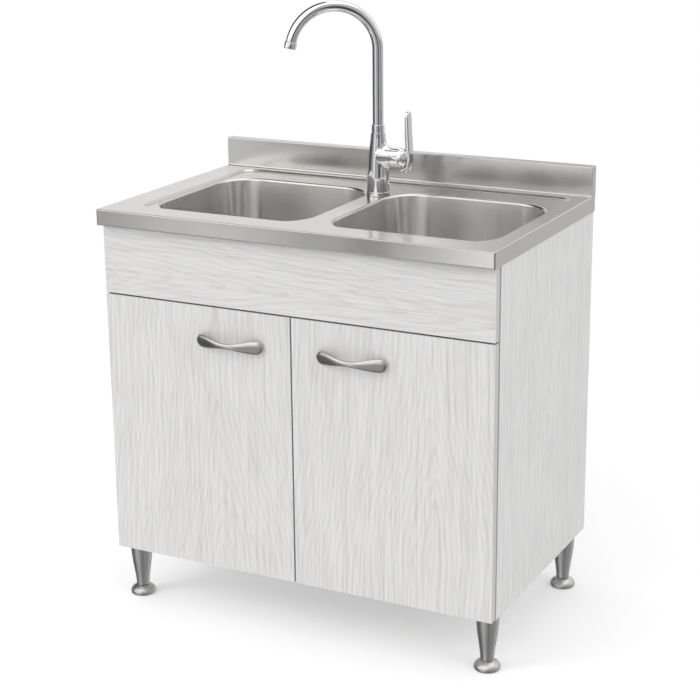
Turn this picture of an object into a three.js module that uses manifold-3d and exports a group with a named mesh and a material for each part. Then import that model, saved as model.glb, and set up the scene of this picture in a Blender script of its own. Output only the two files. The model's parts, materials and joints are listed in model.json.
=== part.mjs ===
// Kitchen sink unit: a two-door base cabinet on four adjustable legs, a lay-on steel sink with
// two pressed bowls and an upstand, and a single-lever tap with a high swivelling spout.
//
// Millimetres, +Z up. The pieces are drawn with x = 0 on the cabinet's middle, y = 0 on the
// front edges of the side panels with +y towards the wall, and z = 0 on the floor. The whole
// group is then moved along y, so that the origin is under the middle of the unit.

import * as THREE from 'three';
import { mergeVertices } from 'three/addons/utils/BufferGeometryUtils.js';
import Module from 'manifold-3d';

const wasm = await Module();
wasm.setup();

// ---------------------------------------------------------------- driving dimensions

const FIT_GAP = 0.3;              // between pieces that touch
const RUNNING_GAP = 0.6;          // round a piece that turns or lifts
const FINE_STEPS = 20;            // facets of the tap and the drain flanges
const CUP_STEPS = 16;             // facets of cups and bottles
const ROUND_STEPS = 14;           // facets of legs and pipes
const SMALL_STEPS = 8;            // facets of pins and screws
const CORNER_STEPS = 4;           // facets of a pressed corner
const OVERCUT = 1;                // how far a cutting solid runs past the face it opens

// sink top
const SINK_WIDTH = 800;
const SINK_DEPTH = 500;
const DECK_HEIGHT = 792;          // top of the rim above the floor
const SHEET = 1;                  // steel sheet
const LIP_HEIGHT = 30;            // folded edge that hides the tops of the boards
const LIP_INNER_BEND = 1;         // radius of the fold, inside
const LIP_PLAY = 0.2;             // boards to where the fold starts
const FRONT_OVERHANG = 34;        // sink edge ahead of the side panels
const LIP_CORNER = 3;             // corner radius of the folded edge in plan
const UPSTAND_HEIGHT = 58;
const UPSTAND_DEPTH = 20;
const UPSTAND_EASE = 2;           // rounding of its top edges

// pressed field and bowls
const FIELD_LEFT = 59;            // sink edge to the field, on each of the four sides
const FIELD_RIGHT = 31;
const FIELD_FRONT = 60;
const FIELD_BACK = 42;
const FIELD_CORNER = 28;
const FIELD_STEP = 3.5;           // depth of the field below the rim
const FIELD_SLOPE = 3;            // run of the step
const FIELD_SEAM = 9;             // field edge to where its skin joins the flat
const BOWL_GAP = 48;              // between the two bowls
const BOWL_SIDE = 9;              // field edge to the bowls, at the sides
const BOWL_FRONT = 5;
const BOWL_BACK = 67;             // the ledge behind the bowls
const BOWL_CORNER = 70;
const BOWL_DEPTH = 150;
const BOWL_DRAFT = 10;            // how far each wall leans in
const BOWL_FILLET = 24;           // radius between wall and floor
const BOWL_FALL = 2.5;            // slope of the floor to the drain
const BOWL_FLANGE = 6;            // welding flange under the field
const BOWL_RIM_DROP = 4;          // height of the rim's first curve
const BOWL_RIM_EASE = 1.5;        // how far that curve leans in
const BOWL_CORNER_SHRINK = 0.8;   // corner radius lost for each millimetre of lean

// drains and waste
const DRAIN_POCKET = 58;          // radius of the pressed seat
const DRAIN_POCKET_DEPTH = 4;
const DRAIN_POCKET_SLOPE = 2;
const DRAIN_HOLE = 43.5;          // radius
const DRAIN_WALL = 3;
const DRAIN_NECK = 24;            // length of the flange's neck
const DRAIN_RIM = 1.5;            // thickness of the flange
const DRAIN_CHAMFER = 3;          // inner edge of the flange
const BASKET_DEPTH = 22;
const BASKET_WALL = 0.8;
const BASKET_RIM = 3;             // rim beyond the drain hole
const BASKET_RIM_HEIGHT = 1;
const BASKET_CHAMFER = 6;
const BASKET_HOLES = 6;
const BASKET_HOLE = 4;            // radius
const KNOB_STEM = 4;              // radius
const KNOB_RADIUS = 9;
const KNOB_HEIGHT = 9;            // above the strainer's rim
const WASTE_RADIUS = 50;
const WASTE_DROP = 62;            // height of the waste body
const WASTE_NUT_WALL = 7;         // union nut round the pipe
const WASTE_NUT_HEIGHT = 16;
const PIPE_RADIUS = 20;
const PIPE_WALL = 2;
const PIPE_STATIONS = 10;         // rings along a waste bend
const PIPE_BEND = 34;             // centreline radius of the waste bends
const TEE_BELOW_WASTE = 49.2;     // centreline of the cross pipe below the waste bodies
const TEE_RADIUS = 24;
const TEE_HALF_LENGTH = 36;
const TEE_COLLAR = 4;             // how far the pipe sockets stand proud
const TEE_COLLAR_LENGTH = 16;
const TEE_DROP = 8;               // down leg below the sockets
const TRAP_RADIUS = 38;
const TRAP_HEIGHT = 96;
const TRAP_NUT = 6;               // union nuts beyond the pipe
const TRAP_EDGE = 8;              // rounding of the bottle's bottom edge
const TRAP_RING_BOTTOM = 30;      // grip ring above the bottle's bottom
const TRAP_RING_HEIGHT = 16;
const TRAP_RING = 4;              // grip ring beyond the bottle
const TRAP_SHOULDER = 14;
const TRAP_BRANCH = 16;           // outlet socket beyond the bottle
const TRAP_OUTLET_DROP = 30;      // outlet centreline below the trap's top
const OUTLET_CLEARANCE = 3;       // wall outlet's end inside the sink's rear edge

// cabinet
const BOARD = 16;
const LEG_HEIGHT = 110;
const BACK_BOARD = 3;
const BACK_HEIGHT = 310;          // the back is low, to leave the plumbing free
const FRONT_RAIL_HEIGHT = 140;
const REAR_RAIL_HEIGHT = 100;
const APRON_HEIGHT = 158.5;
const DOOR_STANDOFF = 2;          // back of the doors to the side panels
const DOOR_GAP = 3;               // between the doors, and under the apron
const DOOR_REVEAL = 1.5;          // door edge inside the cabinet's side
const DOOR_LIFT = 0.5;            // door's bottom edge above the cabinet's
const APRON_TOP_GAP = 3;          // apron to the underside of the rim

// legs and feet
const LEG_INSET_X = 26;           // leg axis to the cabinet's side
const LEG_INSET_FRONT = 24;
const LEG_INSET_BACK = 46;
// The leg's outline, as shares of its height and of its flare.
const LEG_OUTLINE = [[0, 0], [0.2, 0.2], [0.53, 0.66], [0.77, 0.92], [1, 1]];
const LEG_TOP_RADIUS = 22;
const LEG_BOTTOM_RADIUS = 12.5;
const LEG_STUD_RADIUS = 5;
const LEG_STUD_LENGTH = 14;
const FOOT_RADIUS = 25;
const FOOT_RIM = 5.5;
const FOOT_EDGE = 1;              // chamfer on the floor
const FOOT_HEIGHT = 17.7;
const FOOT_NECK_RADIUS = 9;
const FOOT_DOME_STATIONS = [0.3, 0.65];  // shares of the way from the rim to the neck
const FOOT_STEM_RADIUS = 4;
const FOOT_STEM_LENGTH = 44;
const FOOT_BORE_SPARE = 6;        // bore above the stem

// handles
const HANDLE_X = 125;             // handle's middle to the cabinet's middle
const HANDLE_DROP = 64;           // below the door's top edge
const HANDLE_LENGTH = 140;
const HANDLE_HOLES = 96;          // between the two screws
const HANDLE_PROJECTION = 26;
const HANDLE_THICKNESS = 9;
const HANDLE_END_HEIGHT = 25;
const HANDLE_WAIST = 11;
const HANDLE_POST_RADIUS = 6;
const HANDLE_SWELL_END = 0.85;    // share of the half length where the bow is full height
const HANDLE_ARCH = 1.3;          // power of the cosine that bends the bow
const HANDLE_TIP = 0.02;          // squared share of the height left at the tips
const HANDLE_TIP_THICKNESS = 0.45; // share of the thickness kept at the tips
const HANDLE_SIDES = 10;          // facets round the bow
const HANDLE_STATIONS = 16;       // facets along the bow
const SCREW_RADIUS = 2;
const SCREW_GRIP = 7;             // screw's length inside the handle
const SCREW_HEAD_RADIUS = 4;
const SCREW_HEAD_HEIGHT = 2.4;

// concealed hinges
const HINGE_FROM_END = 90;        // cup centre to the door's end
const CUP_EDGE = 22.5;            // cup centre to the door's edge
const CUP_RADIUS = 17.2;
const CUP_DEPTH = 11;
const CUP_WALL = 1.2;
const CUP_FLANGE = 1;             // thickness
const CUP_FLANGE_RIM = 3;         // flange beyond the cup
const CUP_WING = 26;              // half length of the wings
const CUP_WING_WIDTH = 14;
const LINK_PIN_FROM_EDGE = 21.3;  // link pin to the door's outer edge
const LINK_PIN_SINK = 1;          // link pin below the door's back
const LINK_PIN_RADIUS = 0.8;
const LINK_EYE_RADIUS = 2.2;
const LINK_LENGTH = 33.6;
const LINK_THICKNESS = 3;
const LINK_HEIGHT = 9;
const LINK_LEAN = 6;              // degrees, closed door
const ARM_LENGTH = 62;
const ARM_CHANNEL_LENGTH = 53;
const ARM_CHANNEL_WIDTH = 14.2;
const ARM_WALL = 1.2;
const ARM_FRONT = 2;              // arm's mouth behind the panel's front edge
const PLATE_WING = 26;            // half length of the mounting plate
const PLATE_WIDTH = 31;
const PLATE_SETBACK = 8;          // plate to the arm's rear end

// tap
const TAP_FROM_BACK = 151;        // tap axis to the sink's rear edge
const TAP_HOLE = 17.5;            // radius
const TAP_RING_RADIUS = 23;
const TAP_RING_HEIGHT = 8;
const TAP_RING_EDGE = 1.2;
const TAP_BASE_RADIUS = 22;
const TAP_BASE_HEIGHT = 20;
const TAP_BRANCH_Z = 76;          // lever axis above the field
const TAP_BRANCH_RADIUS = 18.5;
const TAP_WAIST_RADIUS = 18.4;
const TAP_BODY_HEIGHT = 121;
const TAP_TOP_RADIUS = 13.4;
const TAP_SOCKET_DEPTH = 26;
const SHANK_RADIUS = 16.5;
const SHANK_LENGTH = 46;
const NUT_RADIUS = 20.5;
const NUT_HEIGHT = 12;
const NUT_FLANGE = 3;             // thickness of its washer face
const NUT_STEP = 1.5;
const BRANCH_LENGTH = 30;         // tap axis to the joint line
const COLLAR_RADIUS = 12.3;
const COLLAR_HEIGHT = 15;
const SPOUT_RADIUS = 10.5;
const SPOUT_STRAIGHT = 279;       // field to the start of the bend
const SPOUT_BEND = 83;            // centreline radius
const SPOUT_ARC = 167;            // degrees
const SPOUT_AZIMUTH = 216;        // degrees from +X, at rest
const SPOUT_STATIONS = 22;        // rings along the spout
const AERATOR_RADIUS = 11.8;
const AERATOR_LENGTH = 13;
const AERATOR_WALL = 2.5;
const AERATOR_RECESS = 4;
const CARTRIDGE_RADIUS = 15;
const CARTRIDGE_DEPTH = 17;       // behind the joint line
const CARTRIDGE_NOSE = 8;         // ahead of the joint line
const LEVER_PIVOT = 46;           // tap axis to the lever's tilting pin
const LEVER_CAP_WALL = 3;
const LEVER_CAP_ANGLE = 60;       // degrees from the lever axis
const LEVER_TILT = 25;            // degrees that the lever leans out
const LEVER_REACH = 90;           // lever axis to the blade's tip
const LEVER_WIDTH = 20;
const LEVER_THICKNESS = 7.5;
const LEVER_SHOULDER = 17;        // where the blade's inner face leaves the cap
const LEVER_BELLY = 4.5;          // how far the blade's outer face swells
const LEVER_SWELL_Z = 22;         // top of that swelling
const LEVER_SWELL_LEFT = 0.8;     // share of the belly that is left there
const LEVER_NECK = 0.7;           // share of the reach where the blade is nearly straight
const LEVER_NECK_LEFT = 0.2;      // share of the belly that is left there
const LEVER_TIP = 0.9;            // share of the reach where the inner face turns to the tip
const LEVER_HEEL = 27.5;          // lever axis to the underside of the heel
const LEVER_HEEL_SETBACK = 2;     // lever's pin to the heel's inner end
const LEVER_HEEL_EASE = 3;        // rounding of the heel
const LEVER_STEPS = 8;            // facets of the blade's round end
const STEM_RADIUS = 4;
const STEM_EYE_RADIUS = 5;
const SPINDLE_RADIUS = 10;
const CHEEK_THICKNESS = 2.5;
const CHEEK_HEIGHT = 7;
const CHEEK_PAST_PIN = 2;
const DOME_WALL = 2.2;
const DOME_MOUTH = 12.5;          // radius of the dome's mouth
const DOME_ROOT = 2;              // dome's inner foot behind the lever's pin

// ---------------------------------------------------------------- dependent dimensions

const sinkFront = -FRONT_OVERHANG;
const sinkBack = SINK_DEPTH - FRONT_OVERHANG;
const sinkMiddleY = (sinkFront + sinkBack) / 2;
const deckUnder = DECK_HEIGHT - SHEET;
const lipBottom = DECK_HEIGHT - LIP_HEIGHT;
const fieldTop = DECK_HEIGHT - FIELD_STEP;
const fieldUnder = fieldTop - SHEET;
const fieldFront = sinkFront + FIELD_FRONT;
const fieldBack = sinkBack - FIELD_BACK;
const fieldMiddleX = (FIELD_LEFT - FIELD_RIGHT) / 2;
const fieldMiddleY = (fieldFront + fieldBack) / 2;
const fieldHalfX = (SINK_WIDTH - FIELD_LEFT - FIELD_RIGHT) / 2;
const fieldHalfY = (fieldBack - fieldFront) / 2;

const lipBend = LIP_INNER_BEND + SHEET;
const halfWidth = SINK_WIDTH / 2 - lipBend - LIP_PLAY;
const carcassDepth = sinkBack - lipBend - LIP_PLAY;
const boardTop = deckUnder - FIT_GAP;
const innerHalf = halfWidth - BOARD;

const bowlHalfX = (fieldHalfX - BOWL_SIDE - BOWL_GAP / 2) / 2;
const bowlHalfY = fieldHalfY - (BOWL_FRONT + BOWL_BACK) / 2;
const bowlMiddleY = fieldFront + BOWL_FRONT + bowlHalfY;
const bowlRim = fieldUnder - FIT_GAP;
const bowlFloor = fieldTop - BOWL_DEPTH;
const bowlX = (side) => fieldMiddleX + side * (BOWL_GAP / 2 + bowlHalfX);
const pocketFloor = bowlFloor - DRAIN_POCKET_DEPTH;

const doorBack = -DOOR_STANDOFF;
const doorFront = doorBack - BOARD;
const apronTop = deckUnder - APRON_TOP_GAP;
const apronBottom = apronTop - APRON_HEIGHT;
const doorBottom = LEG_HEIGHT + DOOR_LIFT;
const doorTop = apronBottom - DOOR_GAP;
const doorOuter = halfWidth - DOOR_REVEAL;
const handleZ = doorTop - HANDLE_DROP;
const hingeHeights = [doorBottom + HINGE_FROM_END, doorTop - HINGE_FROM_END];

const tapX = fieldMiddleX;
const tapY = sinkBack - TAP_FROM_BACK;
const branchZ = fieldTop + TAP_BRANCH_Z;
const tapTop = fieldTop + TAP_BODY_HEIGHT;
const socketFloor = tapTop - TAP_SOCKET_DEPTH;
const bendStart = fieldTop + SPOUT_STRAIGHT;

const neckInner = DRAIN_HOLE - RUNNING_GAP - DRAIN_WALL;
const wasteTop = pocketFloor - SHEET - FIT_GAP;
const wasteBottom = wasteTop - WASTE_DROP;
const teeZ = wasteBottom - TEE_BELOW_WASTE;
const teeFoot = TEE_RADIUS + TEE_COLLAR + TEE_DROP;
const trapTop = teeZ - teeFoot - FIT_GAP;
const outletZ = trapTop - TRAP_OUTLET_DROP;

const legX = halfWidth - LEG_INSET_X;
const legFrontY = LEG_INSET_FRONT;
const legBackY = carcassDepth - LEG_INSET_BACK;
const legTop = LEG_HEIGHT - FIT_GAP;
const legBottom = FOOT_HEIGHT + FIT_GAP;

// ---------------------------------------------------------------- finishes

const finishes = {
  board: { color: 0xd9d8d6, roughness: 0.55, metalness: 0 },
  hardboard: { color: 0xc9b79b, roughness: 0.8, metalness: 0 },
  sinkSteel: { color: 0xb4b1ad, roughness: 0.3, metalness: 1 },
  chrome: { color: 0xd6d8da, roughness: 0.06, metalness: 1 },
  nickel: { color: 0xa7a6a4, roughness: 0.32, metalness: 1 },
  legMetal: { color: 0x8e8b89, roughness: 0.35, metalness: 1 },
  hingeSteel: { color: 0xb9bbbd, roughness: 0.3, metalness: 1 },
  whitePlastic: { color: 0xe9e9e6, roughness: 0.5, metalness: 0 },
  brass: { color: 0xb99a5b, roughness: 0.35, metalness: 1 },
};

const unit = new THREE.Group();

function place(name, finish, geometry, parent = unit) {
  const material = new THREE.MeshStandardMaterial(finishes[finish]);
  const piece = new THREE.Mesh(geometry, material);
  piece.name = name;
  parent.add(piece);
  return piece;
}

// ---------------------------------------------------------------- shape helpers

// One vertex for each place, and no triangle that has collapsed on a revolve's axis.
function weld(geometry) {
  const bare = geometry.clone();
  bare.deleteAttribute('normal');
  bare.deleteAttribute('uv');
  const merged = mergeVertices(bare, 1e-4);
  const source = merged.index.array;
  const kept = [];
  for (let i = 0; i < source.length; i += 3) {
    const [a, b, c] = [source[i], source[i + 1], source[i + 2]];
    if (a !== b && b !== c && a !== c) kept.push(a, b, c);
  }
  merged.setIndex(kept);
  return merged;
}

function toSolid(geometry) {
  const closed = weld(geometry);
  return new wasm.Manifold(new wasm.Mesh({
    numProp: 3,
    vertProperties: new Float32Array(closed.attributes.position.array),
    triVerts: new Uint32Array(closed.index.array),
  }));
}

function toGeometry(solid) {
  const mesh = solid.getMesh();
  const geometry = new THREE.BufferGeometry();
  geometry.setAttribute('position', new THREE.BufferAttribute(mesh.vertProperties, 3));
  geometry.setIndex(new THREE.BufferAttribute(mesh.triVerts, 1));
  return geometry;
}

function join(...geometries) {
  return toGeometry(geometries.map(toSolid).reduce((all, one) => all.add(one)));
}

function cut(body, ...tools) {
  return toGeometry(tools.map(toSolid).reduce((left, tool) => left.subtract(tool), toSolid(body)));
}

function common(a, b) {
  return toGeometry(toSolid(a).intersect(toSolid(b)));
}

function block(x0, x1, y0, y1, z0, z1) {
  const box = new THREE.BoxGeometry(x1 - x0, y1 - y0, z1 - z0);
  return box.translate((x0 + x1) / 2, (y0 + y1) / 2, (z0 + z1) / 2);
}

// A box between two planes at |x| on one side of the middle.
function sideBlock(side, nearX, farX, ...rest) {
  const [low, high] = [side * nearX, side * farX].sort((a, b) => a - b);
  return block(low, high, ...rest);
}

// A revolve about Z. The profile is a list of [radius, z], up the outside and down the inside.
function revolve(profile, steps = ROUND_STEPS) {
  const points = profile.map(([radius, z]) => new THREE.Vector2(radius, z));
  return weld(new THREE.LatheGeometry(points, steps)).rotateX(Math.PI / 2);
}

function rod(radius, z0, z1, steps = ROUND_STEPS) {
  return revolve([[0, z0], [radius, z0], [radius, z1], [0, z1]], steps);
}

// A shape that was made about Z, laid along X or along Y.
const alongX = (geometry) => geometry.rotateY(Math.PI / 2);
const alongY = (geometry) => geometry.rotateX(-Math.PI / 2);

// A surface through loops of equally many points, counter-clockwise seen from where it goes.
function loft(loops, closesOnItself) {
  const count = loops[0].length;
  const positions = loops.flat(2);
  const index = [];
  const bands = closesOnItself ? loops.length : loops.length - 1;
  for (let i = 0; i < bands; i += 1) {
    const low = i * count;
    const high = ((i + 1) % loops.length) * count;
    for (let j = 0; j < count; j += 1) {
      const next = (j + 1) % count;
      index.push(low + j, low + next, high + next, low + j, high + next, high + j);
    }
  }
  if (!closesOnItself) closeEnds(loops, positions, index);
  const geometry = new THREE.BufferGeometry();
  geometry.setAttribute('position', new THREE.Float32BufferAttribute(positions, 3));
  geometry.setIndex(index);
  return geometry;
}

function closeEnds(loops, positions, index) {
  const count = loops[0].length;
  const last = (loops.length - 1) * count;
  for (const [start, loop] of [[0, loops[0]], [last, loops[loops.length - 1]]]) {
    const middle = [0, 1, 2].map((axis) => loop.reduce((sum, p) => sum + p[axis], 0) / count);
    const hub = positions.length / 3;
    positions.push(...middle);
    for (let j = 0; j < count; j += 1) {
      const next = (j + 1) % count;
      if (start === 0) index.push(hub, next, j);
      else index.push(hub, start + j, start + next);
    }
  }
}

// A rectangle with round corners in plan, as a list of [x, y, z].
function roundedLoop(middleX, middleY, halfX, halfY, radius, z) {
  const loop = [];
  for (const [quarter, signX, signY] of [[0, 1, 1], [1, -1, 1], [2, -1, -1], [3, 1, -1]]) {
    for (let i = 0; i <= CORNER_STEPS; i += 1) {
      const angle = (quarter + i / CORNER_STEPS) * Math.PI / 2;
      loop.push([
        middleX + signX * (halfX - radius) + radius * Math.cos(angle),
        middleY + signY * (halfY - radius) + radius * Math.sin(angle),
        z,
      ]);
    }
  }
  return loop;
}

// A circle with as many points as a rounded loop, each facing the loop's own.
function circleLoop(middleX, middleY, radius, z) {
  const count = 4 * (CORNER_STEPS + 1);
  const loop = [];
  for (let i = 0; i < count; i += 1) {
    const angle = Math.PI / 4 + ((i - CORNER_STEPS / 2) / count) * Math.PI * 2;
    loop.push([middleX + radius * Math.cos(angle), middleY + radius * Math.sin(angle), z]);
  }
  return loop;
}

function outline(loop) {
  return loop.map(([x, y]) => new THREE.Vector2(x, y));
}

function circleOutline(x, y, radius, steps = FINE_STEPS) {
  const points = [];
  for (let i = 0; i < steps; i += 1) {
    const angle = (i / steps) * Math.PI * 2;
    points.push(new THREE.Vector2(x + radius * Math.cos(angle), y + radius * Math.sin(angle)));
  }
  return points;
}

// An outline raised along Z.
function plate(points, z0, z1) {
  const settings = { depth: z1 - z0, bevelEnabled: false };
  return new THREE.ExtrudeGeometry(new THREE.Shape(points), settings).translate(0, 0, z0);
}

class Arc extends THREE.Curve {
  constructor(centre, from, towards, radius, sweep) {
    super();
    Object.assign(this, { centre, from, towards, radius, sweep });
  }

  getPoint(t, target = new THREE.Vector3()) {
    const angle = t * this.sweep;
    return target.copy(this.centre)
      .addScaledVector(this.from, this.radius * Math.cos(angle))
      .addScaledVector(this.towards, this.radius * Math.sin(angle));
  }
}

function pipeAlong(curves, radius, sides, steps) {
  const path = new THREE.CurvePath();
  for (const curve of curves) path.add(curve);
  const shape = new THREE.Shape(circleOutline(0, 0, radius, sides));
  return new THREE.ExtrudeGeometry(shape, { steps, extrudePath: path, bevelEnabled: false });
}

// ---------------------------------------------------------------- cabinet boards

function sidePanel(side) {
  return sideBlock(side, innerHalf, halfWidth, 0, carcassDepth, LEG_HEIGHT, boardTop);
}

function bottomPanel() {
  const half = innerHalf - FIT_GAP;
  const back = carcassDepth - BACK_BOARD - FIT_GAP;
  const board = block(-half, half, 0, back, LEG_HEIGHT, LEG_HEIGHT + BOARD);
  const studHoles = legPlaces().map(({ x, y }) => (
    rod(LEG_STUD_RADIUS + FIT_GAP, LEG_HEIGHT - OVERCUT, LEG_HEIGHT + BOARD + OVERCUT)
      .translate(x, y, 0)
  ));
  return cut(board, ...studHoles);
}

function backPanel() {
  const half = innerHalf - FIT_GAP;
  const top = LEG_HEIGHT + BACK_HEIGHT;
  return block(-half, half, carcassDepth - BACK_BOARD, carcassDepth, LEG_HEIGHT, top);
}

// The front rail stands ahead of the side panels, to carry the apron in line with the doors.
function frontRail() {
  const half = innerHalf - FIT_GAP;
  const front = doorBack + FIT_GAP;
  return block(-half, half, front, front + BOARD, boardTop - FRONT_RAIL_HEIGHT, boardTop);
}

function rearRail() {
  const half = innerHalf - FIT_GAP;
  const bottom = boardTop - REAR_RAIL_HEIGHT;
  return block(-half, half, carcassDepth - BOARD, carcassDepth, bottom, boardTop);
}

function apronPanel() {
  return block(-doorOuter, doorOuter, doorFront, doorBack, apronBottom, apronTop);
}

// ---------------------------------------------------------------- doors and handles

const handleHoles = (side) => [-1, 1].map((end) => side * HANDLE_X + end * HANDLE_HOLES / 2);
const cupX = (side) => side * (doorOuter - CUP_EDGE);

function door(side) {
  const board = sideBlock(side, DOOR_GAP / 2, doorOuter, doorFront, doorBack, doorBottom, doorTop);
  const screwHoles = handleHoles(side).map((x) => (
    alongY(rod(SCREW_RADIUS + FIT_GAP, -BOARD - OVERCUT, OVERCUT, SMALL_STEPS))
      .translate(x, doorBack, handleZ)
  ));
  const cupHoles = hingeHeights.map((z) => (
    alongY(rod(CUP_RADIUS + FIT_GAP, -CUP_DEPTH - FIT_GAP, OVERCUT, CUP_STEPS))
      .translate(cupX(side), doorBack, z)
  ));
  return cut(board, ...screwHoles, ...cupHoles);
}

const smooth = (t) => t * t * (3 - 2 * t);

// The bow: far from the door and slim at the waist, low and tall at the round ends.
function handleSection(along) {
  const reach = Math.abs(along) / (HANDLE_LENGTH / 2);
  const endRadius = HANDLE_END_HEIGHT / 2;
  const past = Math.abs(along) - (HANDLE_LENGTH / 2 - endRadius);
  const roundness = past <= 0 ? 1 : Math.sqrt(Math.max(1 - (past / endRadius) ** 2, HANDLE_TIP));
  const swell = smooth(Math.min(reach / HANDLE_SWELL_END, 1));
  const height = (HANDLE_WAIST + (HANDLE_END_HEIGHT - HANDLE_WAIST) * swell) * roundness;
  const rise = Math.cos(Math.min(reach, 1) * Math.PI / 2) ** HANDLE_ARCH;
  const low = HANDLE_THICKNESS / 2;
  const middle = low + (HANDLE_PROJECTION - HANDLE_THICKNESS) * rise;
  const thickness = HANDLE_THICKNESS
    * (HANDLE_TIP_THICKNESS + (1 - HANDLE_TIP_THICKNESS) * roundness);
  return { height, middle, thickness };
}

function handle(side) {
  const loops = [];
  for (let i = 0; i <= HANDLE_STATIONS; i += 1) {
    const along = -Math.cos((i / HANDLE_STATIONS) * Math.PI) * HANDLE_LENGTH / 2;
    const { height, middle, thickness } = handleSection(along);
    const loop = [];
    for (let j = 0; j < HANDLE_SIDES; j += 1) {
      const angle = (j / HANDLE_SIDES) * Math.PI * 2;
      loop.push([
        side * HANDLE_X + along,
        doorFront - middle + thickness / 2 * Math.cos(angle),
        handleZ + height / 2 * Math.sin(angle),
      ]);
    }
    loops.push(loop);
  }
  const postReach = handleSection(HANDLE_HOLES / 2).middle;
  const posts = handleHoles(side).map((x) => (
    alongY(rod(HANDLE_POST_RADIUS, -postReach, -FIT_GAP, HANDLE_SIDES))
      .translate(x, doorFront, handleZ)
  ));
  const bow = join(loft(loops, false), ...posts);
  const near = doorFront - FIT_GAP;
  const air = block(-SINK_WIDTH, SINK_WIDTH, near - 2 * HANDLE_PROJECTION, near, 0, DECK_HEIGHT);
  const threads = handleHoles(side).map((x) => (
    alongY(rod(SCREW_RADIUS + FIT_GAP, -SCREW_GRIP - 2 * FIT_GAP, 0, SMALL_STEPS))
      .translate(x, doorFront, handleZ)
  ));
  return cut(common(bow, air), ...threads);
}

function handleScrew(x) {
  const tip = -BOARD - SCREW_GRIP;
  const screw = revolve([
    [0, tip],
    [SCREW_RADIUS, tip],
    [SCREW_RADIUS, FIT_GAP],
    [SCREW_HEAD_RADIUS, FIT_GAP],
    [SCREW_HEAD_RADIUS, SCREW_HEAD_HEIGHT / 2],
    [SCREW_RADIUS, SCREW_HEAD_HEIGHT],
    [0, SCREW_HEAD_HEIGHT],
  ], SMALL_STEPS);
  return alongY(screw).translate(x, doorBack, handleZ);
}

// ---------------------------------------------------------------- concealed hinges

// The cup is sunk in the door's back, with two screw wings and the pin of the link across it.
function hingeCup(side, z) {
  const inner = CUP_RADIUS - CUP_WALL;
  const cup = alongY(revolve([
    [0, -CUP_DEPTH],
    [CUP_RADIUS, -CUP_DEPTH],
    [CUP_RADIUS, FIT_GAP],
    [CUP_RADIUS + CUP_FLANGE_RIM, FIT_GAP],
    [CUP_RADIUS + CUP_FLANGE_RIM, FIT_GAP + CUP_FLANGE],
    [inner, FIT_GAP + CUP_FLANGE],
    [inner, CUP_WALL - CUP_DEPTH],
    [0, CUP_WALL - CUP_DEPTH],
  ], CUP_STEPS)).translate(cupX(side), doorBack, z);
  const wingBack = doorBack + FIT_GAP;
  const wings = [-1, 1].map((end) => {
    const reach = [end * (inner + 2 * CUP_WALL), end * CUP_WING].sort((a, b) => a - b);
    return block(cupX(side) - CUP_WING_WIDTH / 2, cupX(side) + CUP_WING_WIDTH / 2,
      wingBack, wingBack + CUP_FLANGE, z + reach[0], z + reach[1]);
  });
  const pinEnd = inner + CUP_WALL / 2;
  const pin = rod(LINK_PIN_RADIUS, z - pinEnd, z + pinEnd, SMALL_STEPS)
    .translate(linkPin(side).x, linkPin(side).y, 0);
  return join(cup, ...wings, pin);
}

function linkPin(side) {
  return { x: side * (doorOuter - LINK_PIN_FROM_EDGE), y: doorBack - LINK_PIN_SINK };
}

// A flat link that turns on the cup's pin and reaches back into the arm's channel.
function hingeLink(side, z) {
  const half = LINK_HEIGHT / 2;
  const eye = rod(LINK_EYE_RADIUS, -half, half);
  const bar = block(-LINK_THICKNESS / 2, LINK_THICKNESS / 2, 0, LINK_LENGTH, -half, half);
  const tail = rod(LINK_THICKNESS / 2, -half, half, SMALL_STEPS).translate(0, LINK_LENGTH, 0);
  const hole = rod(LINK_PIN_RADIUS + FIT_GAP, -half - OVERCUT, half + OVERCUT, SMALL_STEPS);
  const lean = THREE.MathUtils.degToRad(LINK_LEAN);
  const pin = linkPin(side);
  return cut(join(eye, bar, tail), hole).rotateZ(-side * lean).translate(pin.x, pin.y, z);
}

// The arm is a channel that is open to the front, on a plate screwed to the side panel.
function hingeArm(side, z) {
  const wall = innerHalf - FIT_GAP;
  const inside = wall - 2 * ARM_WALL - ARM_CHANNEL_WIDTH;
  const tall = LINK_HEIGHT / 2 + 2 * ARM_WALL;
  const channelTall = LINK_HEIGHT / 2 + ARM_WALL;
  const armBack = ARM_FRONT + ARM_LENGTH;
  const plateBack = armBack - PLATE_SETBACK;
  const arm = sideBlock(side, inside, wall, ARM_FRONT, armBack, z - tall, z + tall);
  const wings = sideBlock(side, wall - 2 * ARM_WALL, wall, plateBack - PLATE_WIDTH, plateBack,
    z - PLATE_WING, z + PLATE_WING);
  const channel = sideBlock(side, inside + ARM_WALL, wall - ARM_WALL, ARM_FRONT - OVERCUT,
    ARM_FRONT + ARM_CHANNEL_LENGTH, z - channelTall, z + channelTall);
  return cut(join(arm, wings), channel);
}

// ---------------------------------------------------------------- legs and feet

function legPlaces() {
  return [
    { name: 'front_left', x: -legX, y: legFrontY },
    { name: 'front_right', x: legX, y: legFrontY },
    { name: 'rear_left', x: -legX, y: legBackY },
    { name: 'rear_right', x: legX, y: legBackY },
  ];
}

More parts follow.
